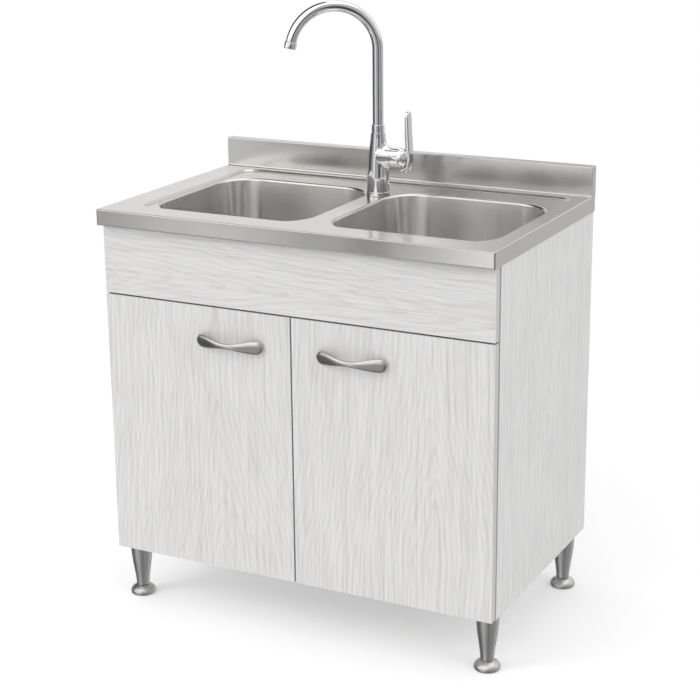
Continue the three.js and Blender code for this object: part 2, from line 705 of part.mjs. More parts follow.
function leg() {
  const rise = legTop - legBottom;
  const flare = LEG_TOP_RADIUS - LEG_BOTTOM_RADIUS;
  const bore = FOOT_STEM_RADIUS + 2 * FIT_GAP;
  const boreTop = FOOT_HEIGHT + FOOT_STEM_LENGTH + FOOT_BORE_SPARE;
  const profile = [[bore, legBottom]];
  for (const [up, out] of LEG_OUTLINE) {
    profile.push([LEG_BOTTOM_RADIUS + flare * out, legBottom + rise * up]);
  }
  profile.push(
    [LEG_STUD_RADIUS, legTop],
    [LEG_STUD_RADIUS, legTop + LEG_STUD_LENGTH],
    [0, legTop + LEG_STUD_LENGTH],
    [0, boreTop],
    [bore, boreTop],
    [bore, legBottom],
  );
  return revolve(profile);
}

function foot() {
  const dome = FOOT_HEIGHT - FOOT_RIM;
  const run = FOOT_RADIUS - FOOT_NECK_RADIUS;
  const profile = [
    [0, 0],
    [FOOT_RADIUS - FOOT_EDGE, 0],
    [FOOT_RADIUS, FOOT_EDGE],
    [FOOT_RADIUS, FOOT_RIM],
  ];
  for (const t of FOOT_DOME_STATIONS) {
    profile.push([FOOT_RADIUS - run * t, FOOT_RIM + dome * Math.sin(t * Math.PI / 2)]);
  }
  profile.push(
    [FOOT_NECK_RADIUS, FOOT_HEIGHT],
    [FOOT_STEM_RADIUS, FOOT_HEIGHT],
    [FOOT_STEM_RADIUS, FOOT_HEIGHT + FOOT_STEM_LENGTH],
    [0, FOOT_HEIGHT + FOOT_STEM_LENGTH],
  );
  return revolve(profile);
}

// ---------------------------------------------------------------- sink

const bowlLoop = (side, inset, radius, z) => roundedLoop(bowlX(side), bowlMiddleY,
  bowlHalfX - inset, bowlHalfY - inset, radius, z);

// The rim, its folded lip and the step down to the pressed field are one folded skin.
function deckSkin() {
  const outer = (inset, z) => roundedLoop(0, sinkMiddleY, SINK_WIDTH / 2 - inset,
    SINK_DEPTH / 2 - inset, Math.max(LIP_CORNER - inset, SHEET / 2), z);
  const field = (inset, z) => roundedLoop(fieldMiddleX, fieldMiddleY, fieldHalfX - inset,
    fieldHalfY - inset, FIELD_CORNER - inset, z);
  const bend = lipBend * (1 - Math.SQRT1_2);
  return loft([
    outer(0, lipBottom),
    outer(0, DECK_HEIGHT - lipBend),
    outer(bend, DECK_HEIGHT - bend),
    outer(lipBend, DECK_HEIGHT),
    field(0, DECK_HEIGHT),
    field(FIELD_SLOPE, fieldTop),
    field(FIELD_SEAM, fieldTop),
    field(FIELD_SEAM, fieldUnder),
    field(FIELD_SLOPE - SHEET / 2, fieldUnder),
    field(-SHEET / 2, deckUnder),
    outer(lipBend, deckUnder),
    outer(SHEET, DECK_HEIGHT - lipBend),
    outer(SHEET, lipBottom),
  ], true);
}

function sinkDeck() {
  const lap = (FIELD_SLOPE + FIELD_SEAM) / 2;
  const edge = roundedLoop(fieldMiddleX, fieldMiddleY, fieldHalfX - lap, fieldHalfY - lap,
    FIELD_CORNER - lap, 0);
  const field = plate(outline(edge), fieldUnder, fieldTop);
  const bowlHoles = [-1, 1].map((side) => (
    plate(outline(bowlLoop(side, 0, BOWL_CORNER, 0)), fieldUnder - OVERCUT, fieldTop + OVERCUT)
  ));
  const tapHole = rod(TAP_HOLE, fieldUnder - OVERCUT, fieldTop + OVERCUT, FINE_STEPS)
    .translate(tapX, tapY, 0);
  return join(deckSkin(), cut(field, ...bowlHoles, tapHole));
}

// A deep-drawn bowl: welding flange, leaning walls, round floor edge and the seat of the drain.
function bowl(side) {
  const x = bowlX(side);
  const skin = (offset) => {
    const corner = (radius, z, inset) => bowlLoop(side, inset - offset, radius + offset, z);
    const wallFoot = bowlFloor + BOWL_FALL + BOWL_FILLET;
    const rings = [corner(BOWL_CORNER, bowlRim - offset, 0)];
    rings.push(corner(BOWL_CORNER - BOWL_RIM_EASE, bowlRim - BOWL_RIM_DROP, BOWL_RIM_EASE));
    for (const turn of [0, 0.5, 1]) {
      const angle = turn * Math.PI / 2;
      const inset = BOWL_DRAFT + BOWL_FILLET * (1 - Math.cos(angle));
      const z = wallFoot - (BOWL_FILLET + offset) * Math.sin(angle);
      rings.push(corner(BOWL_CORNER - inset * BOWL_CORNER_SHRINK, z, inset));
    }
    const pocket = DRAIN_POCKET + offset;
    rings.push(circleLoop(x, bowlMiddleY, pocket + DRAIN_POCKET_SLOPE, bowlFloor - offset));
    rings.push(circleLoop(x, bowlMiddleY, pocket, pocketFloor - offset));
    rings.push(circleLoop(x, bowlMiddleY, DRAIN_HOLE, pocketFloor - offset));
    return rings;
  };
  const flange = (z) => bowlLoop(side, -BOWL_FLANGE, BOWL_CORNER + BOWL_FLANGE, z);
  const outside = skin(SHEET).reverse();
  return loft([...outside, flange(bowlRim - SHEET), flange(bowlRim), ...skin(0)], true);
}

// The upstand is a hollow fold along the rear edge, with closed ends.
function backsplash() {
  const front = sinkBack - UPSTAND_DEPTH;
  const bottom = DECK_HEIGHT + FIT_GAP;
  const top = DECK_HEIGHT + UPSTAND_HEIGHT;
  const half = SINK_WIDTH / 2;
  const ease = UPSTAND_EASE;
  const section = [
    [front, bottom],
    [sinkBack, bottom],
    [sinkBack, top - ease],
    [sinkBack - ease, top],
    [front + ease, top],
    [front, top - ease],
  ].map(([y, z]) => new THREE.Vector2(y, z));
  const settings = { depth: SINK_WIDTH, bevelEnabled: false };
  const outside = new THREE.ExtrudeGeometry(new THREE.Shape(section), settings);
  outside.applyMatrix4(new THREE.Matrix4().set(0, 0, 1, -half, 1, 0, 0, 0, 0, 1, 0, 0, 0, 0, 0, 1));
  const inside = block(SHEET - half, half - SHEET, front + SHEET, sinkBack - SHEET,
    bottom - OVERCUT, top - ease);
  return cut(outside, inside);
}

// ---------------------------------------------------------------- drains and waste

function drainFlange() {
  const seat = pocketFloor + FIT_GAP;
  const rimTop = seat + DRAIN_RIM;
  const neck = DRAIN_HOLE - RUNNING_GAP;
  const outer = DRAIN_POCKET - 2 * FIT_GAP;
  return revolve([
    [neckInner, seat - DRAIN_NECK],
    [neck, seat - DRAIN_NECK],
    [neck, seat],
    [outer, seat],
    [outer, rimTop],
    [neck, rimTop],
    [neckInner, rimTop - DRAIN_CHAMFER],
    [neckInner, seat - DRAIN_NECK],
  ], FINE_STEPS);
}

// A perforated cup with a lifting knob, which hangs by its rim in the drain flange.
function strainerBasket() {
  const cup = neckInner - RUNNING_GAP;
  const bore = cup - BASKET_WALL;
  const rim = pocketFloor + DRAIN_RIM + 2 * FIT_GAP;
  const rimTop = rim + BASKET_RIM_HEIGHT;
  const bottom = rim - BASKET_DEPTH;
  const knobTop = rim + KNOB_HEIGHT;
  const body = revolve([
    [0, bottom],
    [cup - BASKET_CHAMFER, bottom],
    [cup, bottom + BASKET_CHAMFER],
    [cup, rim],
    [DRAIN_HOLE + BASKET_RIM, rim],
    [DRAIN_HOLE + BASKET_RIM, rimTop],
    [bore, rimTop],
    [bore, bottom + BASKET_CHAMFER],
    [bore - BASKET_CHAMFER, bottom + BASKET_WALL],
    [KNOB_STEM, bottom + BASKET_WALL],
    [KNOB_STEM, knobTop - KNOB_STEM],
    [KNOB_RADIUS, knobTop - KNOB_STEM / 2],
    [KNOB_RADIUS, knobTop],
    [0, knobTop],
  ], CUP_STEPS);
  const holes = [];
  for (let i = 0; i < BASKET_HOLES; i += 1) {
    const angle = (i / BASKET_HOLES) * Math.PI * 2;
    holes.push(rod(BASKET_HOLE, bottom - OVERCUT, bottom + BASKET_WALL + OVERCUT, SMALL_STEPS)
      .translate(cup / 2 * Math.cos(angle), cup / 2 * Math.sin(angle), 0));
  }
  return cut(body, ...holes);
}

// The waste body is drawn up under the bowl, round the neck of the drain flange.
function wasteBody() {
  const inner = DRAIN_HOLE + RUNNING_GAP;
  const cupBottom = wasteTop - DRAIN_NECK;
  const bore = PIPE_RADIUS - PIPE_WALL;
  const nut = PIPE_RADIUS + WASTE_NUT_WALL;
  const nutTop = wasteBottom + WASTE_NUT_HEIGHT;
  return revolve([
    [bore, wasteBottom],
    [nut, wasteBottom],
    [nut, nutTop],
    [PIPE_RADIUS, nutTop],
    [PIPE_RADIUS, nutTop + PIPE_WALL],
    [WASTE_RADIUS, cupBottom],
    [WASTE_RADIUS, wasteTop],
    [inner, wasteTop],
    [inner, cupBottom],
    [bore, nutTop],
    [bore, wasteBottom],
  ], CUP_STEPS);
}

function wasteBend(side) {
  const start = new THREE.Vector3(bowlX(side), bowlMiddleY, wasteBottom - FIT_GAP);
  const inward = bowlX(side) - side * PIPE_BEND;
  const turn = new THREE.Vector3(inward, bowlMiddleY, teeZ + PIPE_BEND);
  const corner = new THREE.Vector3(bowlX(side), bowlMiddleY, teeZ + PIPE_BEND);
  const level = new THREE.Vector3(inward, bowlMiddleY, teeZ);
  const end = new THREE.Vector3(
    fieldMiddleX + side * (TEE_HALF_LENGTH + FIT_GAP), bowlMiddleY, teeZ);
  const outward = new THREE.Vector3(side, 0, 0);
  const down = new THREE.Vector3(0, 0, -1);
  return pipeAlong([
    new THREE.LineCurve3(start, corner),
    new Arc(turn, outward, down, PIPE_BEND, Math.PI / 2),
    new THREE.LineCurve3(level, end),
  ], PIPE_RADIUS, ROUND_STEPS, PIPE_STATIONS);
}

function wasteTee() {
  const across = alongX(rod(TEE_RADIUS, -TEE_HALF_LENGTH, TEE_HALF_LENGTH));
  const socket = TEE_COLLAR_LENGTH / 2;
  const collars = [-1, 1].map((end) => alongX(rod(TEE_RADIUS + TEE_COLLAR, -socket, socket))
    .translate(end * (TEE_HALF_LENGTH - socket), 0, 0));
  const down = rod(TEE_RADIUS, -teeFoot, 0);
  return join(across, ...collars, down).translate(fieldMiddleX, bowlMiddleY, teeZ);
}

function bottleTrap() {
  const bottom = trapTop - TRAP_HEIGHT;
  const ringBottom = bottom + TRAP_RING_BOTTOM;
  const bottle = revolve([
    [0, bottom],
    [TRAP_RADIUS - TRAP_EDGE, bottom],
    [TRAP_RADIUS, bottom + TRAP_EDGE],
    [TRAP_RADIUS, ringBottom],
    [TRAP_RADIUS + TRAP_RING, ringBottom],
    [TRAP_RADIUS + TRAP_RING, ringBottom + TRAP_RING_HEIGHT],
    [TRAP_RADIUS, ringBottom + TRAP_RING_HEIGHT],
    [TRAP_RADIUS, trapTop - TRAP_SHOULDER],
    [TEE_RADIUS + TRAP_NUT, trapTop],
    [0, trapTop],
  ], CUP_STEPS);
  const branch = alongY(rod(PIPE_RADIUS + TRAP_NUT, 0, TRAP_RADIUS + TRAP_BRANCH))
    .translate(0, 0, outletZ);
  return join(bottle, branch).translate(fieldMiddleX, bowlMiddleY, 0);
}

// The outlet pipe is open at the wall.
function wallOutlet() {
  const start = TRAP_RADIUS + TRAP_BRANCH + FIT_GAP;
  const end = sinkBack - OUTLET_CLEARANCE - bowlMiddleY;
  const bore = PIPE_RADIUS - PIPE_WALL;
  const pipe = alongY(revolve([
    [0, start],
    [PIPE_RADIUS, start],
    [PIPE_RADIUS, end],
    [bore, end],
    [bore, start + PIPE_WALL],
    [0, start + PIPE_WALL],
  ]));
  return pipe.translate(fieldMiddleX, bowlMiddleY, outletZ);
}

// ---------------------------------------------------------------- tap

function tapRing() {
  const z = fieldTop + FIT_GAP;
  const hole = SHANK_RADIUS + FIT_GAP;
  return revolve([
    [hole, z],
    [TAP_RING_RADIUS, z],
    [TAP_RING_RADIUS, z + TAP_RING_HEIGHT - TAP_RING_EDGE],
    [TAP_RING_RADIUS - TAP_RING_EDGE, z + TAP_RING_HEIGHT],
    [hole, z + TAP_RING_HEIGHT],
    [hole, z],
  ], FINE_STEPS).translate(tapX, tapY, 0);
}

// The body with its threaded shank, the socket of the spout and the branch of the cartridge.
function tapBody() {
  const bottom = fieldTop + TAP_RING_HEIGHT + 2 * FIT_GAP;
  const socket = SPOUT_RADIUS + RUNNING_GAP;
  const column = revolve([
    [0, fieldUnder - SHANK_LENGTH],
    [SHANK_RADIUS, fieldUnder - SHANK_LENGTH],
    [SHANK_RADIUS, bottom],
    [TAP_BASE_RADIUS, bottom],
    [TAP_BASE_RADIUS, bottom + TAP_BASE_HEIGHT],
    [TAP_WAIST_RADIUS, branchZ],
    [TAP_TOP_RADIUS, tapTop],
    [socket, tapTop],
    [socket, socketFloor],
    [0, socketFloor],
  ], FINE_STEPS);
  const branch = alongX(rod(TAP_BRANCH_RADIUS, 0, BRANCH_LENGTH, FINE_STEPS))
    .translate(0, 0, branchZ);
  const chamber = alongX(rod(CARTRIDGE_RADIUS + FIT_GAP, BRANCH_LENGTH - CARTRIDGE_DEPTH - FIT_GAP,
    BRANCH_LENGTH + OVERCUT, FINE_STEPS)).translate(0, 0, branchZ);
  return cut(join(column, branch), chamber).translate(tapX, tapY, 0);
}

function tapNut() {
  const z = fieldUnder - FIT_GAP;
  const hole = SHANK_RADIUS + FIT_GAP;
  return revolve([
    [hole, z - NUT_HEIGHT],
    [NUT_RADIUS - NUT_STEP, z - NUT_HEIGHT],
    [NUT_RADIUS - NUT_STEP, z - NUT_FLANGE],
    [NUT_RADIUS, z - NUT_FLANGE],
    [NUT_RADIUS, z],
    [hole, z],
    [hole, z - NUT_HEIGHT],
  ], FINE_STEPS).translate(tapX, tapY, 0);
}

function spoutDirection() {
  const angle = THREE.MathUtils.degToRad(SPOUT_AZIMUTH);
  return new THREE.Vector3(Math.cos(angle), Math.sin(angle), 0);
}

function spout() {
  const up = new THREE.Vector3(0, 0, 1);
  const out = spoutDirection();
  const shoulder = new THREE.Vector3(tapX, tapY, bendStart);
  const centre = shoulder.clone().addScaledVector(out, SPOUT_BEND);
  const sweep = THREE.MathUtils.degToRad(SPOUT_ARC);
  const bottom = new THREE.Vector3(tapX, tapY, socketFloor + 2 * FIT_GAP);
  return pipeAlong([
    new THREE.LineCurve3(bottom, shoulder),
    new Arc(centre, out.clone().negate(), up, SPOUT_BEND, sweep),
  ], SPOUT_RADIUS, ROUND_STEPS, SPOUT_STATIONS);
}

// Where the arc ends, and the way that it points there.
function spoutTip() {
  const sweep = THREE.MathUtils.degToRad(SPOUT_ARC);
  const out = spoutDirection();
  const point = new THREE.Vector3(tapX, tapY, bendStart + SPOUT_BEND * Math.sin(sweep))
    .addScaledVector(out, SPOUT_BEND * (1 - Math.cos(sweep)));
  const ahead = out.clone().multiplyScalar(Math.sin(sweep));
  ahead.z = Math.cos(sweep);
  return { point, ahead };
}

function spoutCollar() {
  const z = tapTop + FIT_GAP;
  const hole = SPOUT_RADIUS + FIT_GAP;
  return revolve([
    [hole, z],
    [COLLAR_RADIUS, z],
    [COLLAR_RADIUS, z + COLLAR_HEIGHT],
    [hole, z + COLLAR_HEIGHT],
    [hole, z],
  ], FINE_STEPS).translate(tapX, tapY, 0);
}

// The aerator is a short cup at the spout's end, recessed where the water leaves.
function aerator() {
  const cup = revolve([
    [0, FIT_GAP],
    [SPOUT_RADIUS, FIT_GAP],
    [AERATOR_RADIUS, 1 + FIT_GAP],
    [AERATOR_RADIUS, AERATOR_LENGTH],
    [AERATOR_RADIUS - AERATOR_WALL, AERATOR_LENGTH],
    [AERATOR_RADIUS - AERATOR_WALL, AERATOR_LENGTH - AERATOR_RECESS],
    [0, AERATOR_LENGTH - AERATOR_RECESS],
  ]);
  const { point, ahead } = spoutTip();
  const turn = new THREE.Quaternion().setFromUnitVectors(new THREE.Vector3(0, 0, 1), ahead);
  return cup.applyQuaternion(turn).translate(point.x, point.y, point.z);
}

const onBranch = (geometry) => alongX(geometry).translate(tapX, tapY, branchZ);

function cartridge() {
  return onBranch(rod(CARTRIDGE_RADIUS, BRANCH_LENGTH - CARTRIDGE_DEPTH,
    BRANCH_LENGTH + CARTRIDGE_NOSE));
}

function arcProfile(centre, radius, from, to, steps) {
  const points = [];
  for (let i = 0; i <= steps; i += 1) {
    const angle = THREE.MathUtils.degToRad(from + (to - from) * i / steps);
    points.push([radius * Math.sin(angle), centre + radius * Math.cos(angle)]);
  }
  return points;
}

// The nut over the cartridge ends in a dome about the lever's pin, with a mouth for the stem.
function cartridgeNut() {
  const start = BRANCH_LENGTH + FIT_GAP;
  const inner = CARTRIDGE_RADIUS + FIT_GAP;
  const mouthOut = THREE.MathUtils.radToDeg(Math.asin(DOME_MOUTH / TAP_BRANCH_RADIUS));
  const innerDome = TAP_BRANCH_RADIUS - DOME_WALL;
  const mouthIn = THREE.MathUtils.radToDeg(Math.asin(DOME_MOUTH / innerDome));
  const footIn = THREE.MathUtils.radToDeg(Math.asin((inner + FIT_GAP) / innerDome));
  return onBranch(revolve([
    [inner, start],
    [TAP_BRANCH_RADIUS, start],
    ...arcProfile(LEVER_PIVOT, TAP_BRANCH_RADIUS, 90, mouthOut, 3),
    ...arcProfile(LEVER_PIVOT, innerDome, mouthIn, footIn, 2),
    [inner, LEVER_PIVOT - DOME_ROOT],
    [inner, start],
  ], FINE_STEPS));
}

// The spindle turns in the cartridge and holds the lever's stem between two cheeks.
function cartridgeSpindle() {
  const start = BRANCH_LENGTH + CARTRIDGE_NOSE + FIT_GAP;
  const disc = alongX(rod(SPINDLE_RADIUS, start, LEVER_PIVOT - STEM_EYE_RADIUS - RUNNING_GAP));
  const cheekGap = STEM_RADIUS + RUNNING_GAP;
  const cheeks = [-1, 1].map((end) => {
    const middle = end * (cheekGap + CHEEK_THICKNESS / 2);
    return block(start, LEVER_PIVOT + CHEEK_PAST_PIN, -CHEEK_THICKNESS / 2, CHEEK_THICKNESS / 2,
      -CHEEK_HEIGHT / 2, CHEEK_HEIGHT / 2).translate(0, middle, 0);
  });
  return join(disc, ...cheeks).translate(tapX, tapY, branchZ);
}

// The lever: a round cap over the dome, with an upright blade, a heel and the stem to the pin.
function lever() {
  const capInner = TAP_BRANCH_RADIUS + RUNNING_GAP;
  const capOuter = capInner + LEVER_CAP_WALL;
  const cap = alongX(revolve([
    ...arcProfile(LEVER_PIVOT, capInner, 0, LEVER_CAP_ANGLE, 4),
    ...arcProfile(LEVER_PIVOT, capOuter, LEVER_CAP_ANGLE, 0, 3),
  ], CUP_STEPS));
  const stem = alongX(rod(STEM_RADIUS, LEVER_PIVOT, (capInner + capOuter) / 2 + LEVER_PIVOT,
    SMALL_STEPS));
  const eye = alongY(rod(STEM_EYE_RADIUS, -STEM_RADIUS, STEM_RADIUS)).translate(LEVER_PIVOT, 0, 0);
  const parts = join(cap, stem, eye, leverBlade(capInner), leverHeel(capInner));
  return parts.translate(tapX, tapY, branchZ);
}

// A slab with the given side view, as wide as the lever.
function leverSlab(points, halfWidthY) {
  const sideView = new THREE.Shape(points.map(([x, z]) => new THREE.Vector2(x, z)));
  const settings = { depth: 2 * halfWidthY, bevelEnabled: false };
  return new THREE.ExtrudeGeometry(sideView, settings)
    .rotateX(Math.PI / 2).translate(0, halfWidthY, 0);
}

// The blade's side view, cut by its rounded front view.
function leverBlade(capInner) {
  const root = LEVER_PIVOT + capInner + LEVER_CAP_WALL / 2;
  const half = LEVER_WIDTH / 2;
  const slab = leverSlab([
    [root - LEVER_THICKNESS, LEVER_SHOULDER],
    [root - LEVER_CAP_WALL, half],
    [root - LEVER_CAP_WALL / 2, 0],
    [root - LEVER_CAP_WALL / 2, -half],
    [root + LEVER_BELLY / 2, -half],
    [root + LEVER_BELLY, 0],
    [root + LEVER_BELLY * LEVER_SWELL_LEFT, LEVER_SWELL_Z],
    [root + LEVER_BELLY * LEVER_NECK_LEFT, LEVER_REACH * LEVER_NECK],
    [root, LEVER_REACH],
    [root - LEVER_THICKNESS / 2, LEVER_REACH],
    [root - LEVER_THICKNESS, LEVER_REACH * LEVER_TIP],
  ], TAP_BRANCH_RADIUS);
  const front = [[-half, -LEVER_HEEL], [half, -LEVER_HEEL]];
  for (let i = 0; i <= LEVER_STEPS; i += 1) {
    const angle = (i / LEVER_STEPS) * Math.PI;
    front.push([half * Math.cos(angle), LEVER_REACH - half + half * Math.sin(angle)]);
  }
  const frontShape = new THREE.Shape(front.map(([y, z]) => new THREE.Vector2(y, z)));
  const frontSlab = new THREE.ExtrudeGeometry(frontShape, { depth: 2 * root, bevelEnabled: false });
  frontSlab.applyMatrix4(new THREE.Matrix4().set(0, 0, 1, 0, 1, 0, 0, 0, 0, 1, 0, 0, 0, 0, 0, 1));
  return common(slab, frontSlab);
}

// The heel runs on from the blade, under the branch. It is hollowed so that the nut and the
// dome stay clear of it while the lever tilts.
function leverHeel(capInner) {
  const root = LEVER_PIVOT + capInner + LEVER_CAP_WALL / 2;
  const inner = LEVER_PIVOT + LEVER_HEEL_SETBACK;
  const top = -LEVER_WIDTH / 2 + LEVER_HEEL_EASE;
  const slab = leverSlab([
    [inner, top],
    [inner, LEVER_HEEL_EASE - LEVER_HEEL],
    [inner + LEVER_HEEL_EASE, -LEVER_HEEL],
    [root - 2 * LEVER_HEEL_EASE, -LEVER_HEEL],
    [root, 2 * LEVER_HEEL_EASE - LEVER_HEEL],
    [root + LEVER_BELLY / 2, top],
  ], LEVER_WIDTH / 2);
  const ball = new THREE.SphereGeometry(capInner, FINE_STEPS, FINE_STEPS / 2)
    .translate(LEVER_PIVOT, 0, 0);
  const tilted = [0, LEVER_TILT].map((angle) => (
    alongX(rod(capInner, -LEVER_PIVOT, 0, FINE_STEPS))
      .rotateY(-THREE.MathUtils.degToRad(angle)).translate(LEVER_PIVOT, 0, 0)
  ));
  return cut(slab, ball, ...tilted);
}

// ---------------------------------------------------------------- assembly

const sides = [['left', -1], ['right', 1]];

for (const [word, side] of sides) {
  place(`side_panel_${word}`, 'board', sidePanel(side));
  place(`door_${word}`, 'board', door(side));
  place(`handle_${word}`, 'nickel', handle(side));
  handleHoles(side).forEach((x, i) => {
    place(`handle_screw_${word}_${i + 1}`, 'hingeSteel', handleScrew(x));
  });
  hingeHeights.forEach((z, i) => {
    const level = ['lower', 'upper'][i];
    place(`hinge_cup_${word}_${level}`, 'hingeSteel', hingeCup(side, z));
    place(`hinge_link_${word}_${level}`, 'hingeSteel', hingeLink(side, z));
    place(`hinge_arm_${word}_${level}`, 'hingeSteel', hingeArm(side, z));
  });
  place(`bowl_${word}`, 'sinkSteel', bowl(side));
  const drainPieces = [
    ['drain_flange', 'sinkSteel', drainFlange()],
    ['strainer_basket', 'sinkSteel', strainerBasket()],
    ['waste_body', 'whitePlastic', wasteBody()],
  ];
  for (const [name, finish, geometry] of drainPieces) {
    place(`${name}_${word}`, finish, geometry).position.set(bowlX(side), bowlMiddleY, 0);
  }
  place(`waste_bend_${word}`, 'whitePlastic', wasteBend(side));
}

place('bottom_panel', 'board', bottomPanel());
place('back_panel', 'hardboard', backPanel());
place('front_rail', 'board', frontRail());
place('rear_rail', 'board', rearRail());
place('apron_panel', 'board', apronPanel());
place('sink_deck', 'sinkSteel', sinkDeck());
place('backsplash', 'sinkSteel', backsplash());

for (const { name, x, y } of legPlaces()) {
  place(`leg_${name}`, 'legMetal', leg()).position.set(x, y, 0);
  place(`foot_${name}`, 'legMetal', foot()).position.set(x, y, 0);
}

place('waste_tee', 'whitePlastic', wasteTee());
place('bottle_trap', 'whitePlastic', bottleTrap());
place('wall_outlet', 'whitePlastic', wallOutlet());

place('tap_ring', 'chrome', tapRing());
place('tap_body', 'chrome', tapBody());
place('tap_nut', 'brass', tapNut());
place('spout', 'chrome', spout());
place('spout_collar', 'chrome', spoutCollar());
place('aerator', 'chrome', aerator());
place('cartridge', 'whitePlastic', cartridge());
place('cartridge_nut', 'chrome', cartridgeNut());
place('cartridge_spindle', 'brass', cartridgeSpindle());
place('lever', 'chrome', lever());

// The origin goes under the middle of the unit, between the handles' fronts and the rear edge.
unit.position.y = -(sinkBack + doorFront - HANDLE_PROJECTION) / 2;

export default unit;
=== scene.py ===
# %% [markdown]
# # Dressing a kitchen sink unit
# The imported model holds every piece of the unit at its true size: boards, hinges, sink, tap,
# waste pipes and feet. Its solids are faceted, so this lesson gives each one the fine form and
# the finish of the real object. Nothing is moved. Each new piece is made where its solid is,
# rides on the same body, and so follows every joint.

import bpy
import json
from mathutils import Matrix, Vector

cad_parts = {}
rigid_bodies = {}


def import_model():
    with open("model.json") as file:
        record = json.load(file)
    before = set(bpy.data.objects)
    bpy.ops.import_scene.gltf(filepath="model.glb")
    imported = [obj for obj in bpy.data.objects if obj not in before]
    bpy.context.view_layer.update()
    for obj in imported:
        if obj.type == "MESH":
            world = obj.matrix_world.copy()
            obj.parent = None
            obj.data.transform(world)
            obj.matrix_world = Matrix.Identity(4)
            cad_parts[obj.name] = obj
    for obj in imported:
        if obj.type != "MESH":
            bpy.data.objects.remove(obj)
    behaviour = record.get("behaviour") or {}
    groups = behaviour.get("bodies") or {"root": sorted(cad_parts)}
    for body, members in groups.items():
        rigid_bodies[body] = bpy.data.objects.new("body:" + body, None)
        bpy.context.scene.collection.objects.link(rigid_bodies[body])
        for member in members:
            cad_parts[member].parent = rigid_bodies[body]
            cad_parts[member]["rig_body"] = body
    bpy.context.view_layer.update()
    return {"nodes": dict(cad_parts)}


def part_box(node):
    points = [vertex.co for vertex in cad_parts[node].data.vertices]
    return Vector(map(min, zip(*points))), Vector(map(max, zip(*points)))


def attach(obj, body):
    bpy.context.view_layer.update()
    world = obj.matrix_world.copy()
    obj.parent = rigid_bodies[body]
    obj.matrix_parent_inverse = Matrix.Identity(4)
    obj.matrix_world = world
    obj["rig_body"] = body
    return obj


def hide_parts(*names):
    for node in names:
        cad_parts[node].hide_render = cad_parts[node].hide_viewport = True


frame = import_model()

# %% The libraries, and a scale
import json
import math

import bmesh
import bpy
import numpy as np
from mathutils import Matrix, Quaternion, Vector
from mathutils.geometry import tessellate_polygon

MM = 0.001
SIDES = ("left", "right")


def box_mm(node):
    """The lowest and highest corners of a solid, in millimetres."""
    low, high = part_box(node)
    return low / MM, high / MM


def span_mm(node):
    """Those corners, then the middle of the box and half its size."""
    low, high = box_mm(node)
    return low, high, (low + high) / 2, (high - low) / 2


# %% [markdown]
# ## The camera
# The picture was taken from the front and right with a long lens, a little above the sink. Its
# place was found by fitting a pinhole camera to the corners of the cabinet. The lens is a
# shade below the optical axis, which a small vertical shift gives without tilting the walls.

# %% Place the camera
CAMERA_PLACE = Vector((1.4358, -2.7958, 1.4685))
CAMERA_AZIMUTH = math.radians(27.13)
CAMERA_ELEVATION = math.radians(15.91)
CAMERA_ROLL = math.radians(-0.55)
FOCAL_PIXELS = 1708.3
FRAME_PIXELS = 700
AXIS_ABOVE_MIDDLE = 35  # pixels


def camera_turn():
    """The camera's right, up and backward directions as a rotation."""
    level = math.cos(CAMERA_ELEVATION)
    back = Vector((
        math.sin(CAMERA_AZIMUTH) * level,
        -math.cos(CAMERA_AZIMUTH) * level,
        math.sin(CAMERA_ELEVATION),
    ))
    right = Vector((0, 0, 1)).cross(back).normalized()
    up = back.cross(right)
    roll = Quaternion(back, CAMERA_ROLL)
    right, up = roll @ right, roll @ up
    return Matrix((right, up, back)).transposed().to_4x4()


lens = bpy.data.cameras.new("portrait_lens")
lens.sensor_width = 36
lens.lens = lens.sensor_width * FOCAL_PIXELS / FRAME_PIXELS
lens.shift_y = -AXIS_ABOVE_MIDDLE / FRAME_PIXELS
camera = bpy.data.objects.new("portrait_camera", lens)
camera.matrix_world = Matrix.Translation(CAMERA_PLACE) @ camera_turn()
bpy.context.scene.collection.objects.link(camera)
bpy.context.scene.camera = camera
print("lens, mm:", round(lens.lens, 1))

# %% [markdown]
# ## Making meshes
# Most pieces here are turned, bent or drawn. A few helpers say so directly: an outline that is
# spun about an axis, a tube swept along a path, and a skin drawn through a row of loops. Each
# takes millimetres. Sharp corners are rounded in the outline itself, because a real edge
# always catches a thin line of light.

# %% A mesh from points
SMOOTH_ANGLE = math.radians(38)


def show(name, data):
    """A mesh or a light as an object in the scene."""
    piece = bpy.data.objects.new(name, data)
    bpy.context.scene.collection.objects.link(piece)
    return piece


def shade(mesh):
    """Smooth shading, with creases only where it bends."""
    mesh.shade_smooth()
    mesh.set_sharp_from_angle(angle=SMOOTH_ANGLE)


def grow(name, points, faces):
    """A piece from points in millimetres: one vertex for each place, and faces that look outward."""
    mesh = bpy.data.meshes.new(name)
    mesh.from_pydata([Vector(point) * MM for point in points], [], faces)
    shape = bmesh.new()
    shape.from_mesh(mesh)
    bmesh.ops.remove_doubles(shape, verts=shape.verts, dist=1e-7)
    bmesh.ops.recalc_face_normals(shape, faces=shape.faces)
    shape.to_mesh(mesh)
    shape.free()
    shade(mesh)
    return show(name, mesh)


def seat(piece, finish, node):
    """Gives a piece its finish and seats it on the body that a solid belongs to."""
    piece.data.materials.clear()
    piece.data.materials.append(finish)
    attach(piece, frame["nodes"][node]["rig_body"])


def dress(piece, finish, *nodes):
    """Seats a piece, and lets it stand for its solids."""
    seat(piece, finish, nodes[0])
    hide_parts(*nodes)
    return piece


def settle(piece):
    """Turns a piece's modifiers into its mesh."""
    depsgraph = bpy.context.evaluated_depsgraph_get()
    piece.data = bpy.data.meshes.new_from_object(piece.evaluated_get(depsgraph))
    piece.modifiers.clear()
    return piece

